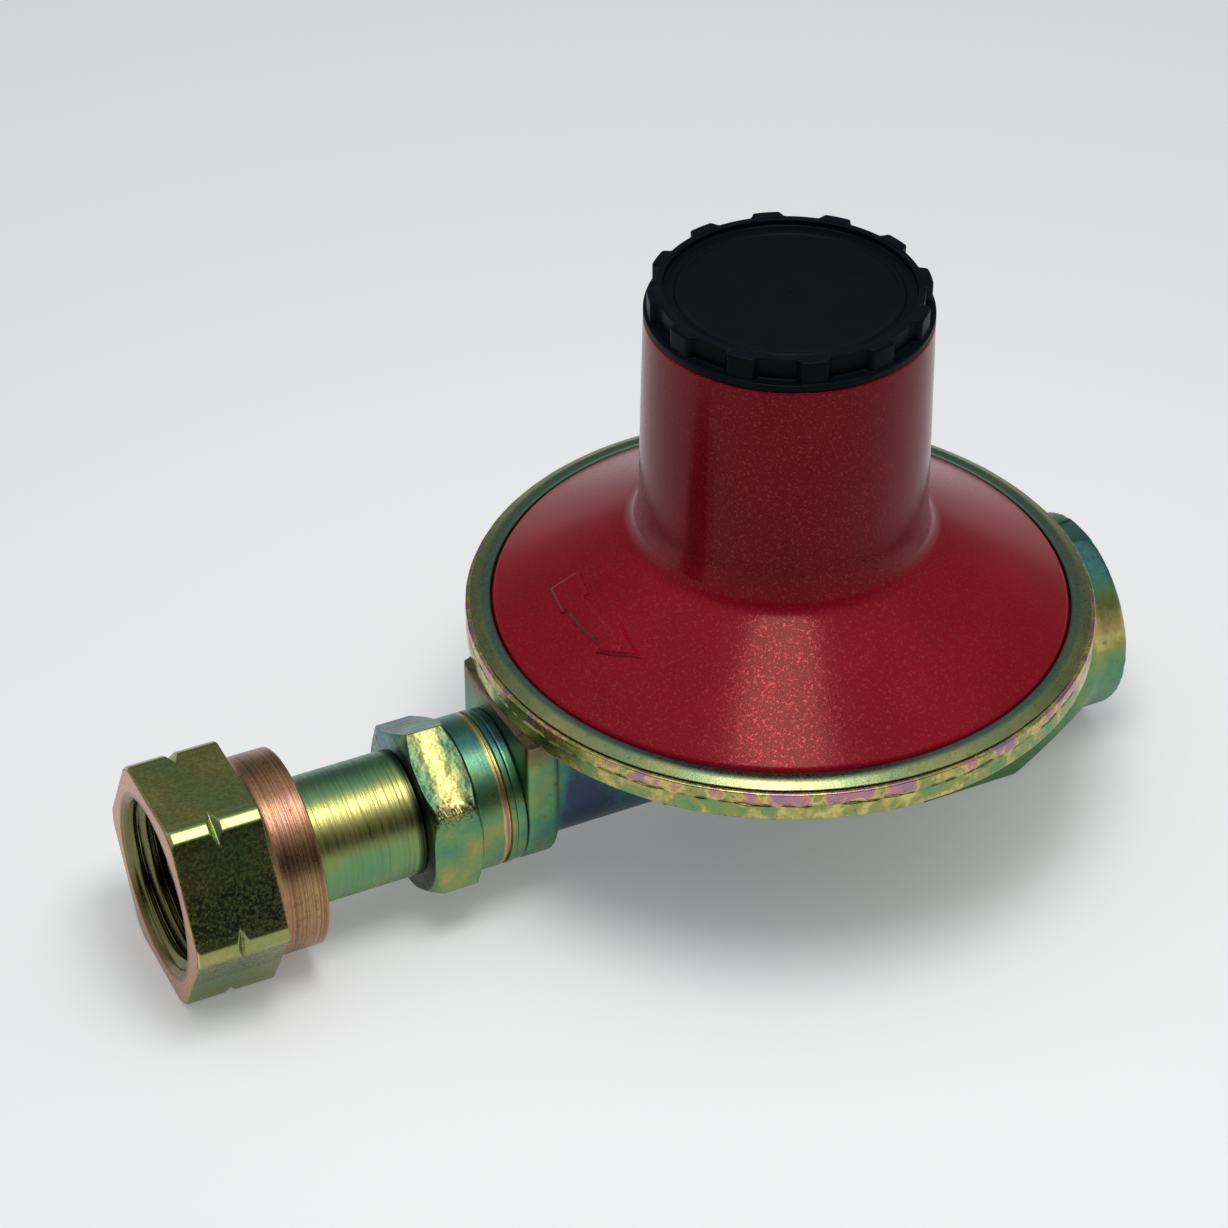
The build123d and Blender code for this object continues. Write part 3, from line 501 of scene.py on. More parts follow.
def start_finish(name):
    """New material in the table of finishes: its shader node and the place on the piece."""
    material = bpy.data.materials.new(name)
    material.use_nodes = True
    FINISHES[name] = material
    tree = material.node_tree
    return tree.nodes["Principled BSDF"], node(tree, "TexCoord").outputs["Object"]


def set_shader(shader, **settings):
    """Sets or links the shader's sockets."""
    for key, value in settings.items():
        plug(shader.inputs[key.replace("_", " ")], value)


# Finishes

FINISHES = {}


def flow_axis_place(place):
    """Place on a piece turned about the flow axis: x and radius in millimetres, and its side.

    The side is the sine and the cosine of the angle up from the front: height over the axis over the
    radius, and distance to the front over the radius.
    """
    x, y, z = node(place.id_data, "SeparateXYZ", (place,)).outputs
    x = maths("DIVIDE", x, MM)
    front = maths("DIVIDE", y, -MM)
    rise = minus(maths("DIVIDE", z, MM), AXIS_Z)
    radius = hypotenuse(front, rise)
    return x, radius, maths("DIVIDE", rise, radius), maths("DIVIDE", front, radius)


def tower_axis_place(place):
    """Place on the casting, in millimetres: x, z and the distance from the tower's axis."""
    sides = node(place.id_data, "SeparateXYZ", (place,)).outputs
    x, y, z = [maths("DIVIDE", side, MM) for side in sides]
    return x, z, hypotenuse(x, y)


def film(place, tone, drift, size):
    """Colour of a passivation film: its tone drifts slowly over the piece, and a little in small clouds."""
    slow = minus(noise(place, size, 2, 0.45), 0.5)
    quick = minus(noise(place, size / 7, 3, 0.6), 0.5)
    return ramp(total(tone, (slow, 1.6 * drift), (quick, 0.7 * drift)), FILM_TONES)


def turning_lines(x, radius, pitch):
    """Height of tool marks, which follow x on a turned side and the radius on a turned face."""
    lathe = node(x.id_data, "CombineXYZ", (x, radius, 0.0)).outputs[0]
    lathe = node(x.id_data, "VectorMath", (lathe, (MM, MM, MM)), operation="MULTIPLY").outputs[0]
    return noise(lathe, pitch, 2, 0.6)


def set_plated(shader, colour, rough, rough_low, rough_high, normal):
    """Metal under a film, with its roughness taken from a pattern."""
    set_shader(shader, Base_Color=colour, Metallic=1.0, Normal=normal,
               Roughness=scale(rough, 0.3, 0.7, rough_low, rough_high))


def red_paint():
    """Crimson paint over cast metal, with fine pale flakes in it and a pebbled skin."""
    shader, place = start_finish("red_paint")
    drift = noise(place, 11, 3)
    fleck = scale(noise(place, 0.34, 2, 0.6), 0.55, 0.65)
    grain = noise(place, 0.5, 3, 0.7)
    colour = blend(scale(drift, 0.3, 0.7), *PAINT_TONES)
    colour = blend(times(fleck, 0.10), colour, PAINT_FLAKES)
    set_shader(shader, Base_Color=colour, Metallic=times(fleck, 0.30),
               Roughness=scale(grain, 0.25, 0.75, 0.14, 0.24), Specular_IOR_Level=0.19,
               Specular_Tint=PAINT_GLOSS, Normal=bump(grain, 0.016, 0.7))


def cast_plating():
    """Die-cast metal under the film: green and teal, with slate on the duct as painted shade under the rim,
    and yellow across the outlet boss as a painted highlight.

    The inlet head is brown on top, and small dark spots lie all over.
    """
    shader, place = start_finish("cast_plating")
    x, z, radius = tower_axis_place(place)
    boss = scale(x, *BOSS_FROM_X)
    head = scale(x, *HEAD_FROM_X)
    # The duct under the rim is pulled to dark slate: painted shade under the rim.
    duct = times(scale(radius, *DUCT_WITHIN_R), scale(x, *DUCT_FROM_X))
    # The bell across the outlet boss's middle height lifts its tone to yellow, a painted highlight.
    tone = total(0.29, (boss, -0.12), (times(boss, bell(z, AXIS_Z + 5.0, 4.0)), 0.48),
                 (head, -0.04), (duct, -0.27))
    colour = film(place, tone, 0.38, 8.0)
    head_top = times(head, scale(z, *HEAD_TOP_FROM_Z))
    colour = blend(times(head_top, 0.8), colour, HEAD_BROWN)
    sand = noise(place, 0.3, 4, 0.7)
    spots = scale(noise(place, 1.0, 3, 0.6), 0.60, 0.72)
    colour = blend(times(spots, 0.5), colour, CAST_SPOTS)
    set_plated(shader, colour, sand, 0.30, 0.48, bump(sand, 0.02, 0.6))


def rim_plating():
    """Rolled rim: a grey-green lip, and a band of olive and yellow with pink blotches on it."""
    shader, place = start_finish("rim_plating")
    z, radius = tower_axis_place(place)[1:]
    on_band = scale(z, LIP_GROOVE_Z + 0.05, LIP_GROOVE_Z - 0.05)
    above_line = scale(z, PARTING_LINE_Z - 0.1, PARTING_LINE_Z + 0.1)
    blotch = scale(noise(place, 3.0, 3, 0.55), 0.43, 0.56)
    pink = times(blotch, total(0.20, (above_line, 0.24)))
    band = film(place, total(0.38, (above_line, 0.12), pink), 0.30, 4.0)
    slope_r = LIP_OUTER_R - LIP_SLOPE[0]
    edge = scale(radius, slope_r - 0.3, slope_r + 0.1)
    lip = film(place, total(0.28, (edge, 0.17)), 0.22, 7.0)
    lip = blend(scale(edge, 0.0, 1.0, 0.7, 0.3), lip, LIP_GREY)
    colour = blend(on_band, lip, band)
    stain = scale(noise(place, 0.9, 4, 0.7), 0.57, 0.70)
    colour = blend(times(stain, 0.55), colour, RIM_STAINS)
    sand = noise(place, 0.25, 3, 0.6)
    set_plated(shader, colour, sand, 0.22, 0.38, bump(sand, 0.015, 0.6))


def nut_plating():
    """Union nut: olive hexagon with mottled flats, darkest on the front flats as a painted dark reflection,
    painted shade in the bore, and a copper-toned collar and mouth with tool marks.
    """
    shader, place = start_finish("nut_plating")
    x, radius, _, front = flow_axis_place(place)
    collar = scale(x, NUT_COLLAR_X, NUT_COLLAR_X + 0.25)
    mouth = scale(x, NUT_MOUTH_X + 0.3, NUT_MOUTH_X + 0.02)
    near_mouth = scale(x, NUT_MOUTH_X + 4.5, NUT_MOUTH_X)
    turned = maths("MAXIMUM", collar, mouth)
    outside = scale(radius, NUT_BORE_R + 0.8, NUT_BORE_R + 1.2)
    off_corner = scale(radius, NUT_CORNER_R - 0.35, NUT_CORNER_R - 0.6)
    flat = times(off_corner, minus(outside, turned))
    colour = film(place, total(0.43, (turned, 0.32), (near_mouth, 0.03)), 0.17, 7.0)
    stain = scale(noise(place, 0.6, 4, 0.7), 0.54, 0.66)
    colour = blend(times(stain, total(0.12, (collar, 0.5))), colour, NUT_STAINS)
    mottle = noise(place, 0.42, 4, 0.7)
    # The mottle is real speckle, but its darkening is weighted onto the front flats as a painted dark
    # reflection.
    front_flat_shade = scale(front, 0.84, 0.88, 0.3, 1.0)
    dull = times(flat, front_flat_shade, scale(mottle, 0.60, 0.40, 0.10, 0.85))
    colour = blend(dull, colour, NUT_MOTTLE_AND_SHADE)
    colour = blend(times(collar, 0.5), colour, COLLAR_COPPER)
    # Painted shade inside the bore and thread: darker and browner within it.
    colour = blend(minus(0.65, times(outside, 0.65)), colour, NUT_BORE_SHADE)
    lines = turning_lines(x, radius, 0.34)
    cut = times(turned, scale(lines, 0.50, 0.64, 0.0, 0.6))
    colour = blend(cut, colour, NUT_CUT_LINES)
    height = total(times(mottle, flat, 1.3), (times(lines, total(0.08, turned)), 2.4))
    rough = total(mottle, (turned, 0.16))
    set_plated(shader, colour, rough, 0.17, 0.34, bump(height, 0.03, 0.8))


def tube_plating():
    """Tail tube: green, a little yellower to the front and yellow-green on its upper front as a painted
    highlight, with tool marks round it and painted shade near the adapter.
    """
    shader, place = start_finish("tube_plating")
    x, radius, up, front = flow_axis_place(place)
    # Tone by side is painted light: yellow-green on the upper front is a painted highlight, and the front is
    # a little yellower than the back.
    upper_front = times(scale(up, 0.2, 0.6), scale(front, 0.2, 0.5))
    tone = total(0.25, (scale(front, -0.2, 0.3), 0.09), (upper_front, 0.18))
    colour = film(place, tone, 0.16, 6.0)
    lines = turning_lines(x, radius, 0.38)
    colour = blend(scale(lines, 0.55, 0.75, 0.0, 0.4), colour, TUBE_CUT_LINES)
    # Painted shade on the tube's end where it meets the adapter.
    join_shade = scale(x, ADAPTER_HEX_X[0] - 1.1, ADAPTER_HEX_X[0] - 0.5, 0.0, 0.8)
    colour = blend(join_shade, colour, TUBE_JOIN_SHADE)
    set_plated(shader, colour, lines, 0.26, 0.40, bump(lines, 0.085, 1.0))


def adapter_plating():
    """Inlet adapter: a teal neck, and a hexagon toned face by face as painted reflection, teal on the
    top-back faces and green below, with a painted dark reflection on the upper front face and a painted
    yellow highlight in its middle.

    A pink line along the groove and yellow on the neck's front are painted highlights, the end at the tube
    carries painted shade, and the bruised corner is stained.
    """
    shader, place = start_finish("adapter_plating")
    x, radius, up, front = flow_axis_place(place)
    near_x, far_x = ADAPTER_HEX_X
    # Tone by face is painted reflection: the upper front face and the top-back faces of the hexagon get
    # their own tones.
    upper_front = times(scale(up, 0.42, 0.56), scale(front, -0.06, 0.06))
    top_back = scale(front, 0.04, -0.10)
    neck = scale(x, far_x, far_x + 0.2)
    hexagon = minus(1.0, neck)
    face = times(hexagon, upper_front)
    face_highlight = bell(x, (near_x + far_x) / 2, 1.7)
    # Painted highlights on the neck: a pink line along the groove, and yellow on its front.
    groove = scale(maths("ABSOLUTE", minus(x, GROOVE_X[0])), 0.6, 0.2)
    tone = total(0.33, (times(face, face_highlight), 0.27), (times(hexagon, top_back), -0.19),
                 (neck, -0.17), (times(neck, scale(front, 0.2, 0.8)), 0.15),
                 (times(neck, groove), 0.50))
    colour = film(place, tone, 0.34, 3.6)
    # Painted dark reflection over the upper front face, lightest where its painted highlight lies in the
    # middle.
    face_dark_reflection = times(face, minus(0.8, times(face_highlight, 0.7)))
    colour = blend(face_dark_reflection, colour, ADAPTER_DARK_REFLECTION)
    # Painted shade on the front of the end face, next to the tube.
    join_shade = times(scale(x, near_x + 0.12, near_x + 0.02), scale(front, -0.45, 0.0))
    colour = blend(times(join_shade, 0.85), colour, ADAPTER_JOIN_SHADE)
    bruise = scale(maths("ABSOLUTE", minus(up, 0.53)), 0.20, 0.08)
    stain = scale(noise(place, 0.5, 4, 0.7), 0.50, 0.60)
    colour = blend(times(hexagon, bruise, stain, 0.85), colour, BRUISE_BROWN)
    lines = turning_lines(x, radius, 0.35)
    sand = noise(place, 0.22, 3, 0.6)
    dents = noise(place, 1.6, 2, 0.5)
    height = total(times(lines, neck, 0.8), (sand, 0.5), (times(dents, hexagon), 11.0))
    set_plated(shader, colour, sand, 0.26, 0.42, bump(height, 0.02, 0.8))


def yellow_plating():
    """Small steel pieces under the same film, mostly green and yellow."""
    shader, place = start_finish("yellow_plating")
    colour = film(place, 0.30, 0.45, 6.0)
    sand = noise(place, 0.2, 3, 0.6)
    set_plated(shader, colour, sand, 0.24, 0.42, bump(sand, 0.015, 0.7))


def black_plastic():
    """Moulded black plastic with a faint blue cast and a fine satin skin."""
    shader, place = start_finish("black_plastic")
    colour = blend(noise(place, 4, 3), *PLASTIC_TONES)
    grain = noise(place, 0.18, 3, 0.7)
    set_shader(shader, Base_Color=colour, Roughness=scale(grain, 0.3, 0.7, 0.34, 0.50),
               Specular_IOR_Level=0.06, Normal=bump(grain, 0.012, 0.5))


def black_rubber():
    """Matt rubber with a dusty bloom."""
    shader, place = start_finish("black_rubber")
    bloom = noise(place, 2.5, 4, 0.6)
    colour = blend(bloom, *RUBBER_TONES)
    set_shader(shader, Base_Color=colour, Roughness=scale(bloom, 0.2, 0.8, 0.62, 0.86),
               Specular_IOR_Level=0.35, Normal=bump(noise(place, 0.15, 3), 0.02, 0.5))


def metal(name, bright, dull, rough_low, rough_high, cloud, grain):
    """Bare metal: a bright and a dull tone in clouds, with a fine grain that varies its roughness."""
    shader, place = start_finish(name)
    clouds = noise(place, cloud, 4, 0.6)
    fine = noise(place, grain, 3, 0.6)
    colour = blend(scale(clouds, 0.3, 0.7), dull, bright)
    set_shader(shader, Base_Color=colour, Metallic=1.0,
               Roughness=scale(fine, 0.25, 0.75, rough_low, rough_high),
               Normal=bump(fine, 0.012, 0.5))


# Body

def casting():
    """Body with soft cast edges: a merged copy of its solid, remeshed in small cells, smoothed and thinned.

    Where the rolled rim covers it, it is drawn in to the rim's root and kept below the lip's top.
    """
    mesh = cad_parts["body"].data.copy()
    merged = bmesh.new()
    merged.from_mesh(mesh)
    bmesh.ops.remove_doubles(merged, verts=merged.verts, dist=MERGE_WITHIN)
    merged.to_mesh(mesh)
    merged.free()
    rough = bpy.data.objects.new("rough_casting", mesh)
    bpy.context.scene.collection.objects.link(rough)
    remesh = rough.modifiers.new("cells", "REMESH")
    remesh.mode = "VOXEL"
    remesh.voxel_size = CAST_GRAIN * MM
    smooth = rough.modifiers.new("soft_edges", "SMOOTH")
    smooth.factor = 0.5
    smooth.iterations = 3
    lighter = rough.modifiers.new("lighter", "DECIMATE")
    lighter.ratio = CAST_SHARE_KEPT
    finished = baked(rough)
    bpy.data.objects.remove(rough)
    place = np.empty(3 * len(finished.vertices))
    finished.vertices.foreach_get("co", place)
    place = place.reshape(-1, 3) / MM
    radius = np.hypot(place[:, 0], place[:, 1])
    under_rim = (radius > RIM_ROOT_R) & (place[:, 2] > RIM_BOTTOM_Z + 0.3)
    drawn_in = np.where(under_rim, RIM_ROOT_R / np.maximum(radius, RIM_ROOT_R), 1)
    place[:, :2] *= drawn_in[:, None]
    on_lip = radius > LIP_INNER_R - 0.1
    place[:, 2] = np.where(on_lip, np.minimum(place[:, 2], LIP_TOP_Z - 0.2), place[:, 2])
    finished.vertices.foreach_set("co", np.ravel(place * MM))
    finished.shade_smooth()
    add_piece("casting", finished, "cast_plating", "housing", "body")


def rolled_rim():
    """Lip, dark groove and band round the body, slightly dented and worn, with a parting line on the band.

    The parting line is a dip of depth * exp(-((height - line) / width)^2). Its height and depth waver.
    """
    columns = 640
    angle = column_angles(columns)
    outer_r, inner_r = RIM_R + RIM_PROUD, LIP_INNER_R + 0.04
    top_z, bottom_z = LIP_TOP_Z + RIM_PROUD, RIM_BOTTOM_Z + 0.1
    groove_top_z, groove_bottom_z = LIP_GROOVE_Z + LIP_GROOVE_HALF, LIP_GROOVE_Z - LIP_GROOVE_HALF
    lip = rounded([
        (inner_r, RIM_ROOT_Z), (inner_r, top_z), (LIP_OUTER_R - LIP_SLOPE[0], top_z),
        (LIP_OUTER_R, top_z - LIP_SLOPE[1]), (LIP_OUTER_R, groove_top_z),
        (LIP_GROOVE_R, LIP_GROOVE_Z), (outer_r, groove_bottom_z), (outer_r, bottom_z),
        (RIM_ROOT_R, bottom_z), (RIM_ROOT_R, RIM_ROOT_Z)],
        [0.1, 0.45, 0.5, 0.4, 0.05, 0.05, 0.2, 0.45, 0.2, 0.1], 9)
    first, last = np.flatnonzero(lip[:, 0] > outer_r - MERGE_WITHIN)[[0, -1]]
    band = np.linspace(lip[first], lip[last], 44)
    outline = np.concatenate([lip[:first], band, lip[last + 1:]])
    radius, height = outline[:, :1], outline[:, 1:]
    outer = smooth_step(radius, outer_r - 0.3, outer_r)
    line_z = PARTING_LINE_Z + waver(angle, LINE_SWAY)
    depth = 0.13 + 0.12 * waver(angle, LINE_FADE)
    parting = np.clip(depth, 0, None) * np.exp(-((height - line_z) / LINE_WIDTH) ** 2)
    dents = 0.03 * waver(angle, RIM_DENTS)
    wear = 0.02 * waver(angle, LIP_WEAR) * smooth_step(radius, inner_r + 0.3, LIP_OUTER_R)
    dip = outer * (parting + dents) + (1 - outer) * wear
    grid = turned_z(radius - dip, height, columns)
    skin("rolled_rim", grid, "rim_plating", "housing", slot="cast_plating")


def outlet_thread():
    """Thread in the outlet bore: the radius falls by the depth times the ridge, which fades at its ends."""
    columns = 256
    x = np.linspace(OUTLET_THREAD_X + 0.2, OUTLET_END_X - 0.15, 110)[:, None]
    ridge = thread_ridge(x / OUTLET_THREAD_PITCH + column_angles(columns) / FULL_TURN, 2.5)
    ends = smooth_step(x, x[0], x[0] + 0.8) * (1 - smooth_step(x, x[-1] - 1.2, x[-1]))
    inner = turned_x(x, OUTLET_THREAD_R - OUTLET_THREAD_DEPTH * ridge * ends, columns)
    outer = turned_x(np.linspace(x[-1], x[0], 3), OUTLET_THREAD_R + 0.3, columns)
    skin("outlet_thread", np.concatenate([inner, outer]), "cast_plating", "housing")


# Bonnet

def cone_height(radius):
    """Height of the cone's outside at a radius."""
    return CONE_Z + (CONE_R - radius) * CONE_SLOPE


def bonnet_shell():
    """Cone and tower turned in one, with a filleted foot, and a vent drilled in the back of the cone.

    A faint mould line runs up two sides of the tower: its rise times exp(-(distance off it / width)^2).
    """
    columns = 512
    inner_edge_z = cone_height(LEDGE_INNER_R) - BONNET_WALL_DROP
    chamber_z = cone_height(SPRING_CHAMBER_R) - BONNET_WALL_DROP
    outline = rounded([
        (LEDGE_INNER_R, BONNET_FLANGE_Z), (BONNET_FLANGE_R, BONNET_FLANGE_Z),
        (BONNET_FLANGE_R, BONNET_FLANGE_TOP_Z), (CONE_R, BONNET_FLANGE_TOP_Z), (CONE_R, CONE_Z),
        (TOWER_FOOT_R, TOWER_FOOT_Z), (TOWER_LOW_R, TOWER_LOW_Z), (TOWER_TOP_R, TOWER_TOP_Z),
        (SEAL_POCKET_R, TOWER_TOP_Z), (SEAL_POCKET_R, SEAL_POCKET_Z), (TOWER_BORE_R, SEAL_POCKET_Z),
        (TOWER_BORE_R, TOWER_THREAD_Z), (SPRING_CHAMBER_R, TOWER_THREAD_Z), (SPRING_CHAMBER_R, chamber_z),
        (LEDGE_INNER_R, inner_edge_z)],
        [0.3, 0.2, 0.2, 0.1, 0.45, 1.4, 1.2, 0.4, 0.1, 0.1, 0.1, 0.2, 0.2, 1.0, 0.6], BONNET_STEPS)
    cone_end = 5 * (BONNET_STEPS + 2)
    slope = np.linspace(outline[cone_end - 1], outline[cone_end], 42)[1:-1]
    outline = np.concatenate([outline[:cone_end], slope, outline[cone_end:]])
    radius, height = outline[:, :1], outline[:, 1:]
    angle = column_angles(columns)
    off_line = np.abs((angle - np.radians(MOULD_LINE_DEG) + np.pi / 2) % np.pi - np.pi / 2)
    outside = smooth_step(radius, TOWER_BORE_R + 1.5, TOWER_BORE_R + 2.0)
    on_tower = outside * smooth_step(height, TOWER_FOOT_Z + 0.5, TOWER_LOW_Z)
    line = MOULD_LINE_RISE * np.exp(-(off_line * TOWER_TOP_R / MOULD_LINE_WIDTH) ** 2) * on_tower
    shell = skin("shell", turned_z(radius + line, height, columns), "red_paint", "housing")
    near_y, far_y = VENT_DRILL_Y
    bpy.ops.mesh.primitive_cylinder_add(
        vertices=48, radius=VENT_R * MM, depth=(far_y - near_y) * MM,
        location=(0, (near_y + far_y) / 2 * MM, VENT_Z * MM), rotation=(np.pi / 2, 0, 0))
    drill = bpy.context.object
    cut = shell.modifiers.new("vent", "BOOLEAN")
    cut.operation = "DIFFERENCE"
    cut.object = drill
    cut.solver = "EXACT"
    mesh = baked(shell)
    mesh.set_sharp_from_angle(angle=np.radians(BONNET_SHARP_DEG))
    bpy.data.objects.remove(drill)
    bpy.data.objects.remove(shell)
    add_piece("bonnet_shell", mesh, "red_paint", "housing", "bonnet")


def flow_arrow():
    """Raised arrow that follows the cone round. Rows run along it and columns go round its section.

    Its half width steps from tail to shaft to head and then tapers to the tip. The section's top stands
    off the cone by the rise, rounded at its edges, and its underside lies below the cone's skin.
    """
    place = np.unique(np.concatenate([
        np.linspace(ARROW_TAIL_DEG, ARROW_TIP_DEG, 60),
        ARROW_TAIL_DEG + np.array([0.15, 0.3, 0.5]),
        ARROW_NOTCH_DEG + np.array([-0.12, 0.12]), ARROW_HEAD_DEG + np.array([-0.12, 0.12])]))
    half = np.interp(place, [
        ARROW_TAIL_DEG, ARROW_NOTCH_DEG - 0.1, ARROW_NOTCH_DEG + 0.1, ARROW_HEAD_DEG - 0.1,
        ARROW_HEAD_DEG + 0.1, ARROW_TIP_DEG],
        [ARROW_TAIL_HALF, ARROW_TAIL_HALF - 0.1, ARROW_SHAFT_HALF, ARROW_SHAFT_HALF, ARROW_HEAD_HALF, 0.05])
    across = np.linspace(-1, 1, 25)
    edge = (1 - np.abs(across)) * half[:, None]
    along = np.minimum(place - ARROW_TAIL_DEG, ARROW_TIP_DEG - place)[:, None] * np.radians(ARROW_R)
    rise = ARROW_RISE * smooth_step(np.minimum(edge, along + 0.05), 0.0, 0.45)
    under = np.full((len(place), 5), -ARROW_ROOT)
    off = np.concatenate([rise, under], axis=1)
    side = np.concatenate([across, np.linspace(0.9, -0.9, 5)])
    radius = ARROW_R + side * half[:, None]
    tilt = np.sqrt(1 + CONE_SLOPE ** 2)
    height = cone_height(radius) + off / tilt
    radius = radius + off * CONE_SLOPE / tilt
    angle = np.radians(place)[:, None] + 0 * radius
    grid = np.stack([radius * np.cos(angle), radius * np.sin(angle), height], axis=-1)
    ends = grid[[0, -1]][:, -3:-2] + 0 * grid[[0, -1]]
    grid = np.concatenate([ends[:1], grid, ends[1:]])
    skin("flow_arrow", grid, "red_paint", "housing", poles=True)


# Cap

def grip_cap():
    """Cap with a recessed face, one thin ring on it, a raised rim and lugs round its edge.

    Two outlines with matching corners, one through a gap and one through a lug, are blended round the turn.
    """
    columns = 720
    ring_z = CAP_FACE_Z + CAP_RING_RISE
    face = [(0, CAP_FACE_Z), (CAP_RING_R[0] - CAP_RING_RISE, CAP_FACE_Z), (CAP_RING_R[0], ring_z),
            (CAP_RING_R[1], ring_z), (CAP_RING_R[1] + CAP_RING_RISE, CAP_FACE_Z),
            (CAP_RECESS_R, CAP_FACE_Z), (CAP_RECESS_R, CAP_TOP_Z)]
    skirt = [(CAP_FLANGE_R, CAP_FLANGE_Z), (CAP_FLANGE_R, TOWER_TOP_Z), (CAP_SPIGOT_R, TOWER_TOP_Z),
             (CAP_SPIGOT_R, CAP_SPIGOT_Z), (CAP_SPIGOT_INNER_R, CAP_SPIGOT_Z),
             (CAP_SPIGOT_INNER_R, CAP_PLATE_Z), (0, CAP_PLATE_Z)]
    gap = face + [(CAP_WALL_R - 0.4, CAP_TOP_Z), (CAP_WALL_R - 0.2, CAP_TOP_Z), (CAP_WALL_R, CAP_TOP_Z),
                  (CAP_WALL_R, CAP_FLANGE_Z)] + skirt
    lug = face + [(CAP_WALL_R - 0.4, CAP_TOP_Z), (CAP_WALL_R - 0.4, CAP_LUG_TOP_Z),
                  (CAP_LUG_R, CAP_LUG_TOP_Z), (CAP_LUG_R, CAP_FLANGE_Z)] + skirt
    gap, lug = rounded(gap, 0.22), rounded(lug, 0.3)
    angle = column_angles(columns) - np.radians(CAP_LUG_TURN_DEG)
    pitch = FULL_TURN / CAP_LUG_COUNT
    off_lug = np.abs((angle + pitch / 2) % pitch - pitch / 2) * CAP_WALL_R
    share = 1 - smooth_step(off_lug, CAP_LUG_HALF - 0.45, CAP_LUG_HALF + 0.35)
    radius = gap[:, :1] + (lug[:, :1] - gap[:, :1]) * share
    height = gap[:, 1:] + (lug[:, 1:] - gap[:, 1:]) * share
    radius[[0, -1]] = 0
    grid = turned_z(np.maximum(radius, 0), height, columns)
    skin("grip_cap", grid, "black_plastic", "cap_body", "cap", poles=True)


# Inlet

def hexagon_radius(face_r, corner_turn, columns):
    """Radius of a hexagon: its face's radius over the cosine of the angle off the face's middle."""
    off_face = (column_angles(columns) + corner_turn + np.pi / 6) % (np.pi / 3) - np.pi / 6
    return face_r / np.cos(off_face)


def end_rounding(distance, edge):
    """How far a rounded end draws in: a quarter circle over the last bit before the end."""
    short = np.clip(edge - distance, 0, edge)
    return edge - np.sqrt(edge ** 2 - short ** 2)


def near_end(start, inward):
    """Stations close together within a rounded end, from the end inward."""
    return start + inward * 0.22 * np.array([0, 0.06, 0.2, 0.42, 0.7, 1.0, 1.2])


def face_rows(outer, inner, rows):
    """Rows across a flat end, between one radius and another. Either may differ round the turn."""
    share = np.linspace(0, 1, rows + 2)[1:-1, None]
    return outer + (inner - outer) * share


def left_hand_nut():
    """Union nut: a hexagon with turned and notched corners, a collar, and a left-hand thread inside.

    Outside, the radius is the least of the hexagon, the turned corner and the notch's V, softly joined.
    Inside, a ridge follows a helix whose phase falls with the angle, so that the thread is left-hand.
    """
    columns = 480
    edge = 0.2
    hexagon = hexagon_radius(NUT_FACE_R, 0, columns)
    notch_run = np.linspace(NOTCH_X - 1.5, NOTCH_X + 1.5, 25)
    hex_x = np.concatenate([
        near_end(NUT_MOUTH_X, 1), NUT_MOUTH_X + np.array([0.4, 0.6, 0.9, 2.0]), notch_run,
        NUT_COLLAR_X - np.array([2.0, 0.8]), near_end(NUT_COLLAR_X, -1)[::-1]])[:, None]
    past_mouth = np.clip((hex_x - NUT_MOUTH_X) / 0.43, 0, 1)
    corner = NUT_MOUTH_CORNER_R + (NUT_CORNER_R - NUT_MOUTH_CORNER_R) * past_mouth
    outside = soft_min(hexagon, corner, 0.12)
    outside = soft_min(outside, NUT_CORNER_R - NOTCH_DEPTH + np.abs(hex_x - NOTCH_X), 0.1)
    outside = outside - end_rounding(hex_x - NUT_MOUTH_X, edge) - end_rounding(NUT_COLLAR_X - hex_x, edge)
    step = face_rows(outside[-1], NUT_COLLAR_R, 3)
    collar_x = np.concatenate([
        NUT_COLLAR_X + np.array([0.05, 1.0, 3.0]), near_end(NUT_END_X, -1)[::-1]])[:, None]
    collar = NUT_COLLAR_R - end_rounding(NUT_END_X - collar_x, edge)
    end = face_rows(collar[-1], NUT_SLEEVE_R, 3)
    sleeve_x = np.array([NUT_END_X, NUT_END_X - 0.1, NUT_SHOULDER_X + 0.1, NUT_SHOULDER_X])[:, None]
    sleeve = NUT_SLEEVE_R + 0.05 * (sleeve_x == NUT_END_X)
    shoulder = face_rows(sleeve[-1], NUT_RELIEF_R, 2)
    relief_x = np.array([NUT_SHOULDER_X, NUT_SHOULDER_X - 0.1, NUT_RELIEF_X + 0.1])[:, None]
    thread_x = np.linspace(NUT_RELIEF_X, NUT_MOUTH_X + 0.6, 62)[:, None]
    ridge = thread_ridge(thread_x / NUT_THREAD_PITCH - column_angles(columns) / FULL_TURN, 2.4)
    runout = smooth_step(-thread_x, -NUT_RELIEF_X, -NUT_RELIEF_X + 0.5)
    runout = runout * (1 - smooth_step(-thread_x, -NUT_MOUTH_X - 1.7, -NUT_MOUTH_X - 0.6))
    thread = NUT_BORE_R - NUT_THREAD_DEPTH * ridge * runout
    mouth_x = NUT_MOUTH_X + np.array([0.45, 0.3, 0.15, 0.04, 0.0])[:, None]
    mouth = NUT_BORE_R + (NUT_MOUTH_BORE_R - NUT_BORE_R) * (1 - (mouth_x - NUT_MOUTH_X) / 0.6)
    front = face_rows(mouth[-1], outside[0], 4)
    stretches = [
        (hex_x, outside), (NUT_COLLAR_X, step), (collar_x, collar), (NUT_END_X, end), (sleeve_x, sleeve),
        (NUT_SHOULDER_X, shoulder), (relief_x, NUT_RELIEF_R), (thread_x, thread), (mouth_x, mouth),
        (NUT_MOUTH_X, front)]
    grid = np.concatenate([turned_x(x, radius, columns) for x, radius in stretches])
    skin("left_hand_nut", grid, "nut_plating", "nut_body", "union_nut", slot="yellow_plating")


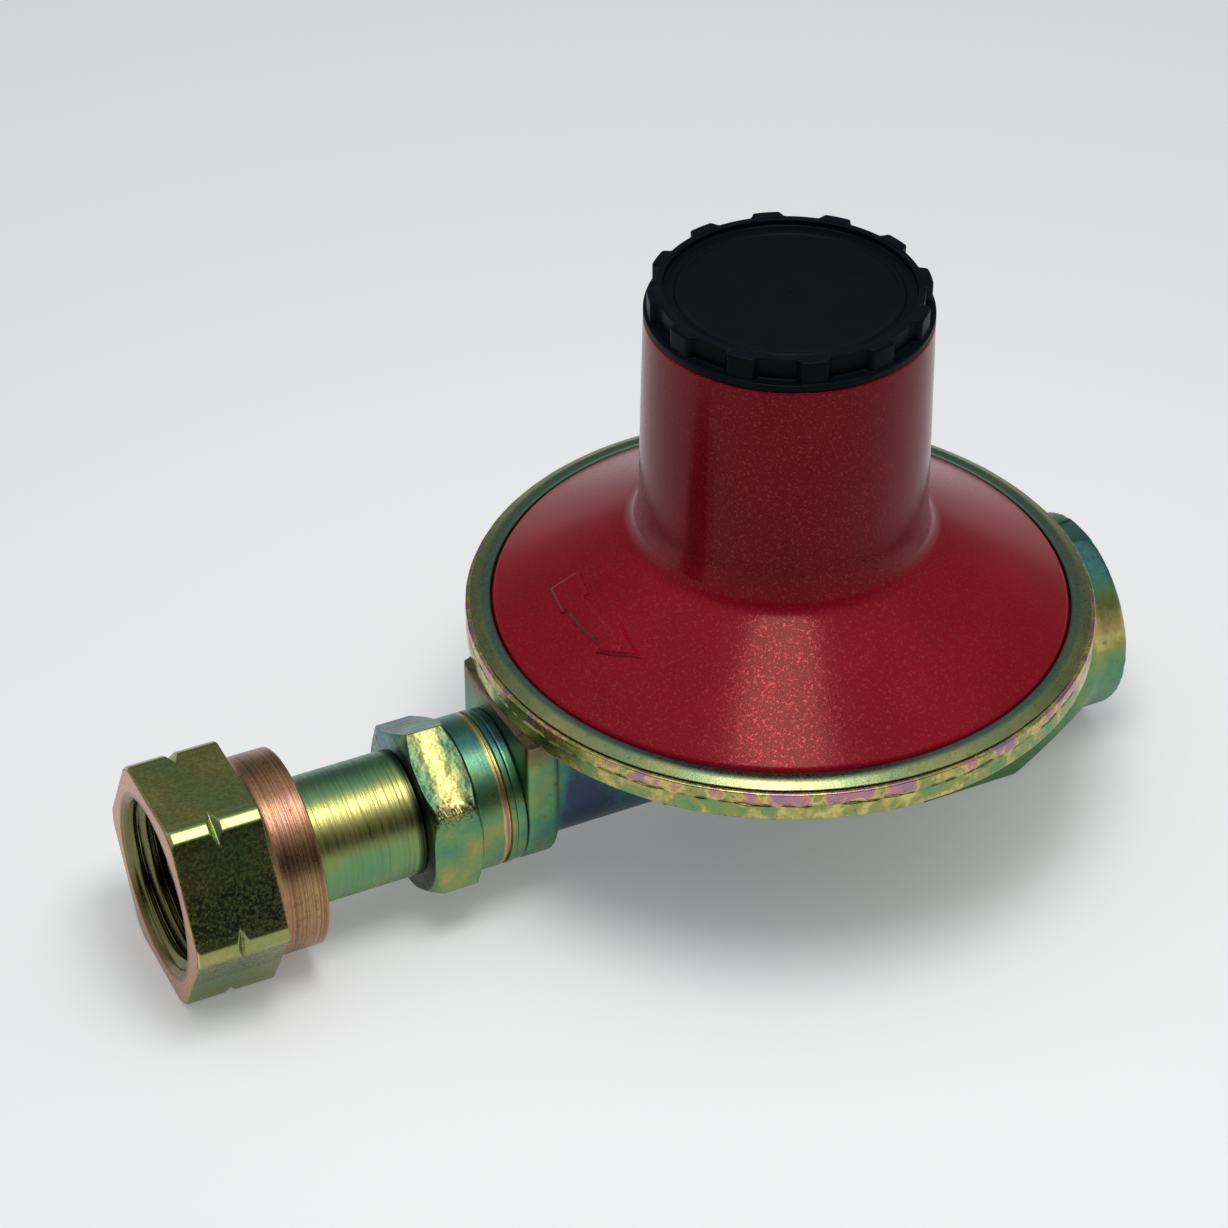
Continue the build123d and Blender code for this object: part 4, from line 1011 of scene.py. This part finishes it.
def hex_adapter():
    """Inlet adapter: a bevelled hexagon with a corner up, a grooved neck and a spigot, bored for the tube.

    Its radius outside the hexagon's length is that of a turned outline with rounded corners. A wrench has
    bruised its front corner: the depth there is exp(-(distance off the corner / width)^2) times a wave
    along x whose own phase wavers.
    """
    columns = 480
    near_x, far_x = ADAPTER_HEX_X
    hexagon = hexagon_radius(ADAPTER_FACE_R, np.pi / 6, columns)
    hex_x = np.concatenate([
        near_end(near_x, 1), near_x + np.linspace(0.35, 1.2, 7),
        np.linspace(near_x + 1.35, far_x - 1.35, 24), far_x - np.linspace(1.2, 0.35, 7),
        near_end(far_x, -1)[::-1]])[:, None]
    off_end = np.minimum(hex_x - near_x, far_x - hex_x)
    bevel = ADAPTER_FACE_R + off_end * np.sqrt(3)
    outside = soft_min(hexagon, bevel, 0.12) - end_rounding(off_end, 0.15)
    off_corner = (column_angles(columns) - np.radians(BRUISE_DEG)) * ADAPTER_FACE_R
    wave = np.sin(7.3 * hex_x + 2.2 * np.sin(2.9 * hex_x) + 2.5 * off_corner)
    bruise = np.exp(-(off_corner / BRUISE_HALF) ** 2) * (0.5 + 0.5 * wave)
    outside = outside - BRUISE_DEPTH * bruise * smooth_step(off_end, 0.3, 1.0)
    rest = rounded([
        (far_x, ADAPTER_NECK_R), (GROOVE_X[0], ADAPTER_NECK_R), (GROOVE_X[0], ADAPTER_NECK_R - GROOVE_DEPTH),
        (GROOVE_X[1], ADAPTER_NECK_R - GROOVE_DEPTH), (GROOVE_X[1], ADAPTER_NECK_R),
        (ADAPTER_SHOULDER_X, ADAPTER_NECK_R), (ADAPTER_SHOULDER_X, ADAPTER_SPIGOT_R),
        (ADAPTER_END_X, ADAPTER_SPIGOT_R), (ADAPTER_END_X, ADAPTER_BORE_R),
        (ADAPTER_SOCKET_X, ADAPTER_BORE_R), (ADAPTER_SOCKET_X, ADAPTER_SOCKET_R),
        (near_x, ADAPTER_SOCKET_R)], 0.12)[1:-1]
    grid = np.concatenate([turned_x(hex_x, outside, columns), turned_x(rest[:, :1], rest[:, 1:], columns)])
    skin("hex_adapter", grid, "adapter_plating", "housing", "inlet_adapter", slot="yellow_plating")


def ring_x(name, outline, reach, finish, body, node_name, slot=None):
    """Ring turned about the flow axis from an outline of (x, radius) corners, which are rounded."""
    profile = rounded(outline, reach)
    skin(name, turned_x(profile[:, :1], profile[:, 1:]), finish, body, node_name, slot=slot)


def inlet_pieces():
    """Tube with its flanged nose, and the gasket and washers on the flow axis."""
    ring_x("inlet_tube", [
        (TUBE_NOSE_X, TUBE_BORE_R), (TUBE_NOSE_X, TUBE_NOSE_R), (TUBE_FLANGE_X[0], TUBE_NOSE_R),
        (TUBE_FLANGE_X[0], TUBE_FLANGE_R), (TUBE_FLANGE_X[1], TUBE_FLANGE_R), (TUBE_FLANGE_X[1], TUBE_R),
        (ADAPTER_HEX_X[0], TUBE_R), (ADAPTER_HEX_X[0], TUBE_END_R), (ADAPTER_SOCKET_X, TUBE_END_R),
        (ADAPTER_SOCKET_X, ADAPTER_BORE_R), (TUBE_NECK_X, ADAPTER_BORE_R), (TUBE_NECK_X, TUBE_BORE_R)],
        0.2, "tube_plating", "housing", "tail_tube", slot="yellow_plating")
    ring_x("nose_ring", [
        (TUBE_NOSE_X, GASKET_BORE_R), (TUBE_NOSE_X, GASKET_R), (TUBE_FLANGE_X[0], GASKET_R),
        (TUBE_FLANGE_X[0], GASKET_BORE_R)], 0.35, "black_rubber", "housing", "nose_gasket")
    ring_x("thrust_washer", [
        (TUBE_FLANGE_X[1], WASHER_BORE_R), (TUBE_FLANGE_X[1], WASHER_R), (NUT_SHOULDER_X, WASHER_R),
        (NUT_SHOULDER_X, WASHER_BORE_R)], 0.12, "bright_steel", "washer_body", "slip_washer")
    ring_x("sealing_washer", [
        (ADAPTER_SHOULDER_X, SEAL_BORE_R), (ADAPTER_SHOULDER_X, SEAL_R), (HEAD_X, SEAL_R),
        (HEAD_X, SEAL_BORE_R)], 0.3, "adapter_plating", "housing", "adapter_seal", slot="yellow_plating")


# Springs and diaphragm

def coil(name, path_r, wire_r, first_z, last_z, turns, share, bodies, node_name):
    """Round wire along a share of a coil whose height and angle both grow evenly.

    The circle of the wire lies across the path: a point of it is the path's point plus the wire's radius
    times (cos * outward + sin * the direction square to outward and to the path). Both ends are flat.
    """
    rise = last_z - first_z
    along = np.linspace(*share, int(COIL_ROWS * turns * (share[1] - share[0])))
    wire = wire_r * np.concatenate([[0, 0.9], np.ones(len(along)), [0.9, 0]])[:, None, None]
    along = np.pad(along, 2, mode="edge")[:, None]
    angle = FULL_TURN * turns * along
    outward = np.concatenate([np.cos(angle), np.sin(angle), 0 * angle], axis=1)[:, None]
    sideways = np.concatenate([-np.sin(angle), np.cos(angle), 0 * angle], axis=1)[:, None]
    slope = rise / (FULL_TURN * turns * path_r)
    square = np.cross(outward, sideways + slope * np.array([0, 0, 1])) / np.hypot(1, slope)
    middle = path_r * outward + (first_z + rise * along[:, :, None]) * np.array([0, 0, 1])
    round_wire = column_angles(WIRE_COLUMNS)[None, :, None]
    grid = middle + wire * (np.cos(round_wire) * outward + np.sin(round_wire) * square)
    skin(name, grid, "spring_steel", bodies, node_name, poles=True)


def springs():
    """Main spring in two parts, its foot and its coils, and the relief spring."""
    first_z, last_z = PLATE_TOP_Z + MAIN_WIRE_R, SEAT_UNDER_Z - MAIN_WIRE_R
    still_z = first_z + MAIN_FOOT_SHARE * (last_z - first_z)
    main = (MAIN_COIL_R, MAIN_WIRE_R, first_z, last_z, MAIN_TURNS)
    coil("main_spring_foot", *main, (0, MAIN_FOOT_SHARE),
         ("stem_body", "housing", first_z, still_z), "main_spring")
    coil("main_spring_coils", *main, (MAIN_FOOT_SHARE, 1),
         ("housing", "seat_body", still_z, last_z), "main_spring")
    first_z, last_z = PLATE_TOP_Z + RELIEF_WIRE_R, RETAINER_UNDER_Z - RELIEF_WIRE_R
    coil("relief_coils", RELIEF_COIL_R, RELIEF_WIRE_R, first_z, last_z, RELIEF_TURNS, (0, 1),
         ("plates_body", "stem_body", first_z, last_z), "relief_spring")


def diaphragm_rubber():
    """Diaphragm with a flat middle, a sloping ring and a clamped edge."""
    low_z, ledge_z = DIAPHRAGM_LOW_Z, DIAPHRAGM_EDGE_Z
    thick = DIAPHRAGM_THICKNESS
    outline = rounded([
        (DIAPHRAGM_HOLE_R, low_z), (DIAPHRAGM_FLAT_R, low_z), (DIAPHRAGM_LEDGE_R, ledge_z),
        (BONNET_FLANGE_R, ledge_z), (BONNET_FLANGE_R, ledge_z + thick), (DIAPHRAGM_LEDGE_R, ledge_z + thick),
        (DIAPHRAGM_FLAT_R, low_z + thick), (DIAPHRAGM_HOLE_R, low_z + thick)], 0.2)
    skin("diaphragm_rubber", turned_z(outline[:, :1], outline[:, 1:]), "black_rubber",
         ("housing", "stem_body", ledge_z, low_z + thick), "diaphragm")


# Studio

def studio():
    """Pale floor, a soft box over the regulator, and a light tent that is dark in front of it."""
    corners = FLOOR_HALF * np.array([(-1, -1, 0), (1, -1, 0), (1, 1, 0), (-1, 1, 0)])
    mesh = bpy.data.meshes.new("floor")
    mesh.from_pydata(corners, [], [(0, 1, 2, 3)])
    floor = bpy.data.objects.new("floor", mesh)
    bpy.context.scene.collection.objects.link(floor)
    shader = start_finish("pale_floor")[0]
    seen = seen_ray(shader.id_data)
    set_shader(shader, Base_Color=blend(seen, FLOOR_BOUNCE, FLOOR_SEEN), Roughness=0.9,
               Specular_IOR_Level=0.1, Emission_Color=(1, 1, 1, 1),
               Emission_Strength=times(seen, FLOOR_GLOW))
    mesh.materials.append(FINISHES["pale_floor"])
    soft_box()
    light_tent()


def seen_ray(tree):
    """1 for a ray from the camera or from a glossy or clear surface, 0 for one that only carries light."""
    path = node(tree, "LightPath").outputs
    seen = maths("MAXIMUM", path["Is Camera Ray"], path["Is Glossy Ray"])
    return maths("MAXIMUM", seen, path["Is Transmission Ray"])


def soft_box():
    """Area lamp that faces down, in line with the camera, and isn't seen by it."""
    light = bpy.data.lights.new("soft_box", "AREA")
    light.shape = "RECTANGLE"
    light.size, light.size_y = SOFT_BOX_SIZE
    light.energy = SOFT_BOX_WATTS
    holder = bpy.data.objects.new("soft_box", light)
    holder.location = Vector(SOFT_BOX_PLACE) * MM
    holder.rotation_euler.z = np.arctan2(CAMERA_FORWARD[1], CAMERA_FORWARD[0]) - np.pi / 2
    holder.visible_camera = False
    bpy.context.scene.collection.objects.link(holder)


def light_tent():
    """World whose light depends on the direction: a pale horizon, a band over it and a bright top.

    The band is dark towards the camera's side, grey behind and pale to the left and right. The horizon
    only shows, and lights nothing.
    """
    world = bpy.data.worlds.new("light_tent")
    world.use_nodes = True
    bpy.context.scene.world = world
    tree = world.node_tree
    direction = node(tree, "TexCoord").outputs["Generated"]
    height = node(tree, "SeparateXYZ", (direction,)).outputs[2]
    ahead = Vector((CAMERA_FORWARD[0], CAMERA_FORWARD[1], 0)).normalized()
    back = node(tree, "VectorMath", (direction, tuple(ahead)), operation="DOT_PRODUCT").outputs["Value"]
    band = ramp(scale(back, -1.0, 1.0), TENT_BAND)
    horizon = blend(seen_ray(tree), band, TENT_HORIZON)
    lower = blend(scale(height, *HORIZON_TOP), horizon, band)
    light = blend(scale(height, *BAND_TOP), lower, TENT_TOP)
    background = tree.nodes["Background"]
    tree.links.new(light, background.inputs["Color"])
    background.inputs["Strength"].default_value = 1.0


def photo_camera():
    """Camera at the photograph's place and angle."""
    data = bpy.data.cameras.new("photo_camera")
    data.sensor_width = SENSOR_WIDTH
    data.lens = SENSOR_WIDTH * PHOTO_FOCAL * ZOOM / PHOTO_SIDE
    data.clip_start, data.clip_end = 0.01, 50
    camera = bpy.data.objects.new("photo_camera", data)
    bpy.context.scene.collection.objects.link(camera)
    back, up = -Vector(CAMERA_FORWARD), Vector(CAMERA_UP)
    across = up.cross(back)
    turn = Matrix((across, up, back)).transposed().to_4x4()
    camera.matrix_world = Matrix.Translation(Vector(CAMERA_PLACE) * MM) @ turn
    bpy.context.scene.camera = camera


red_paint()
cast_plating()
rim_plating()
nut_plating()
tube_plating()
adapter_plating()
yellow_plating()
black_plastic()
black_rubber()
for name, look in METALS.items():
    metal(name, *look)
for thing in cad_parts.values():
    for slot in thing.material_slots:
        slot.material = FINISHES[slot.name.split(".")[0]]

casting()
rolled_rim()
outlet_thread()
bonnet_shell()
flow_arrow()
grip_cap()
left_hand_nut()
hex_adapter()
inlet_pieces()
springs()
diaphragm_rubber()
studio()
photo_camera()
bpy.context.scene.view_settings.view_transform = "Standard"
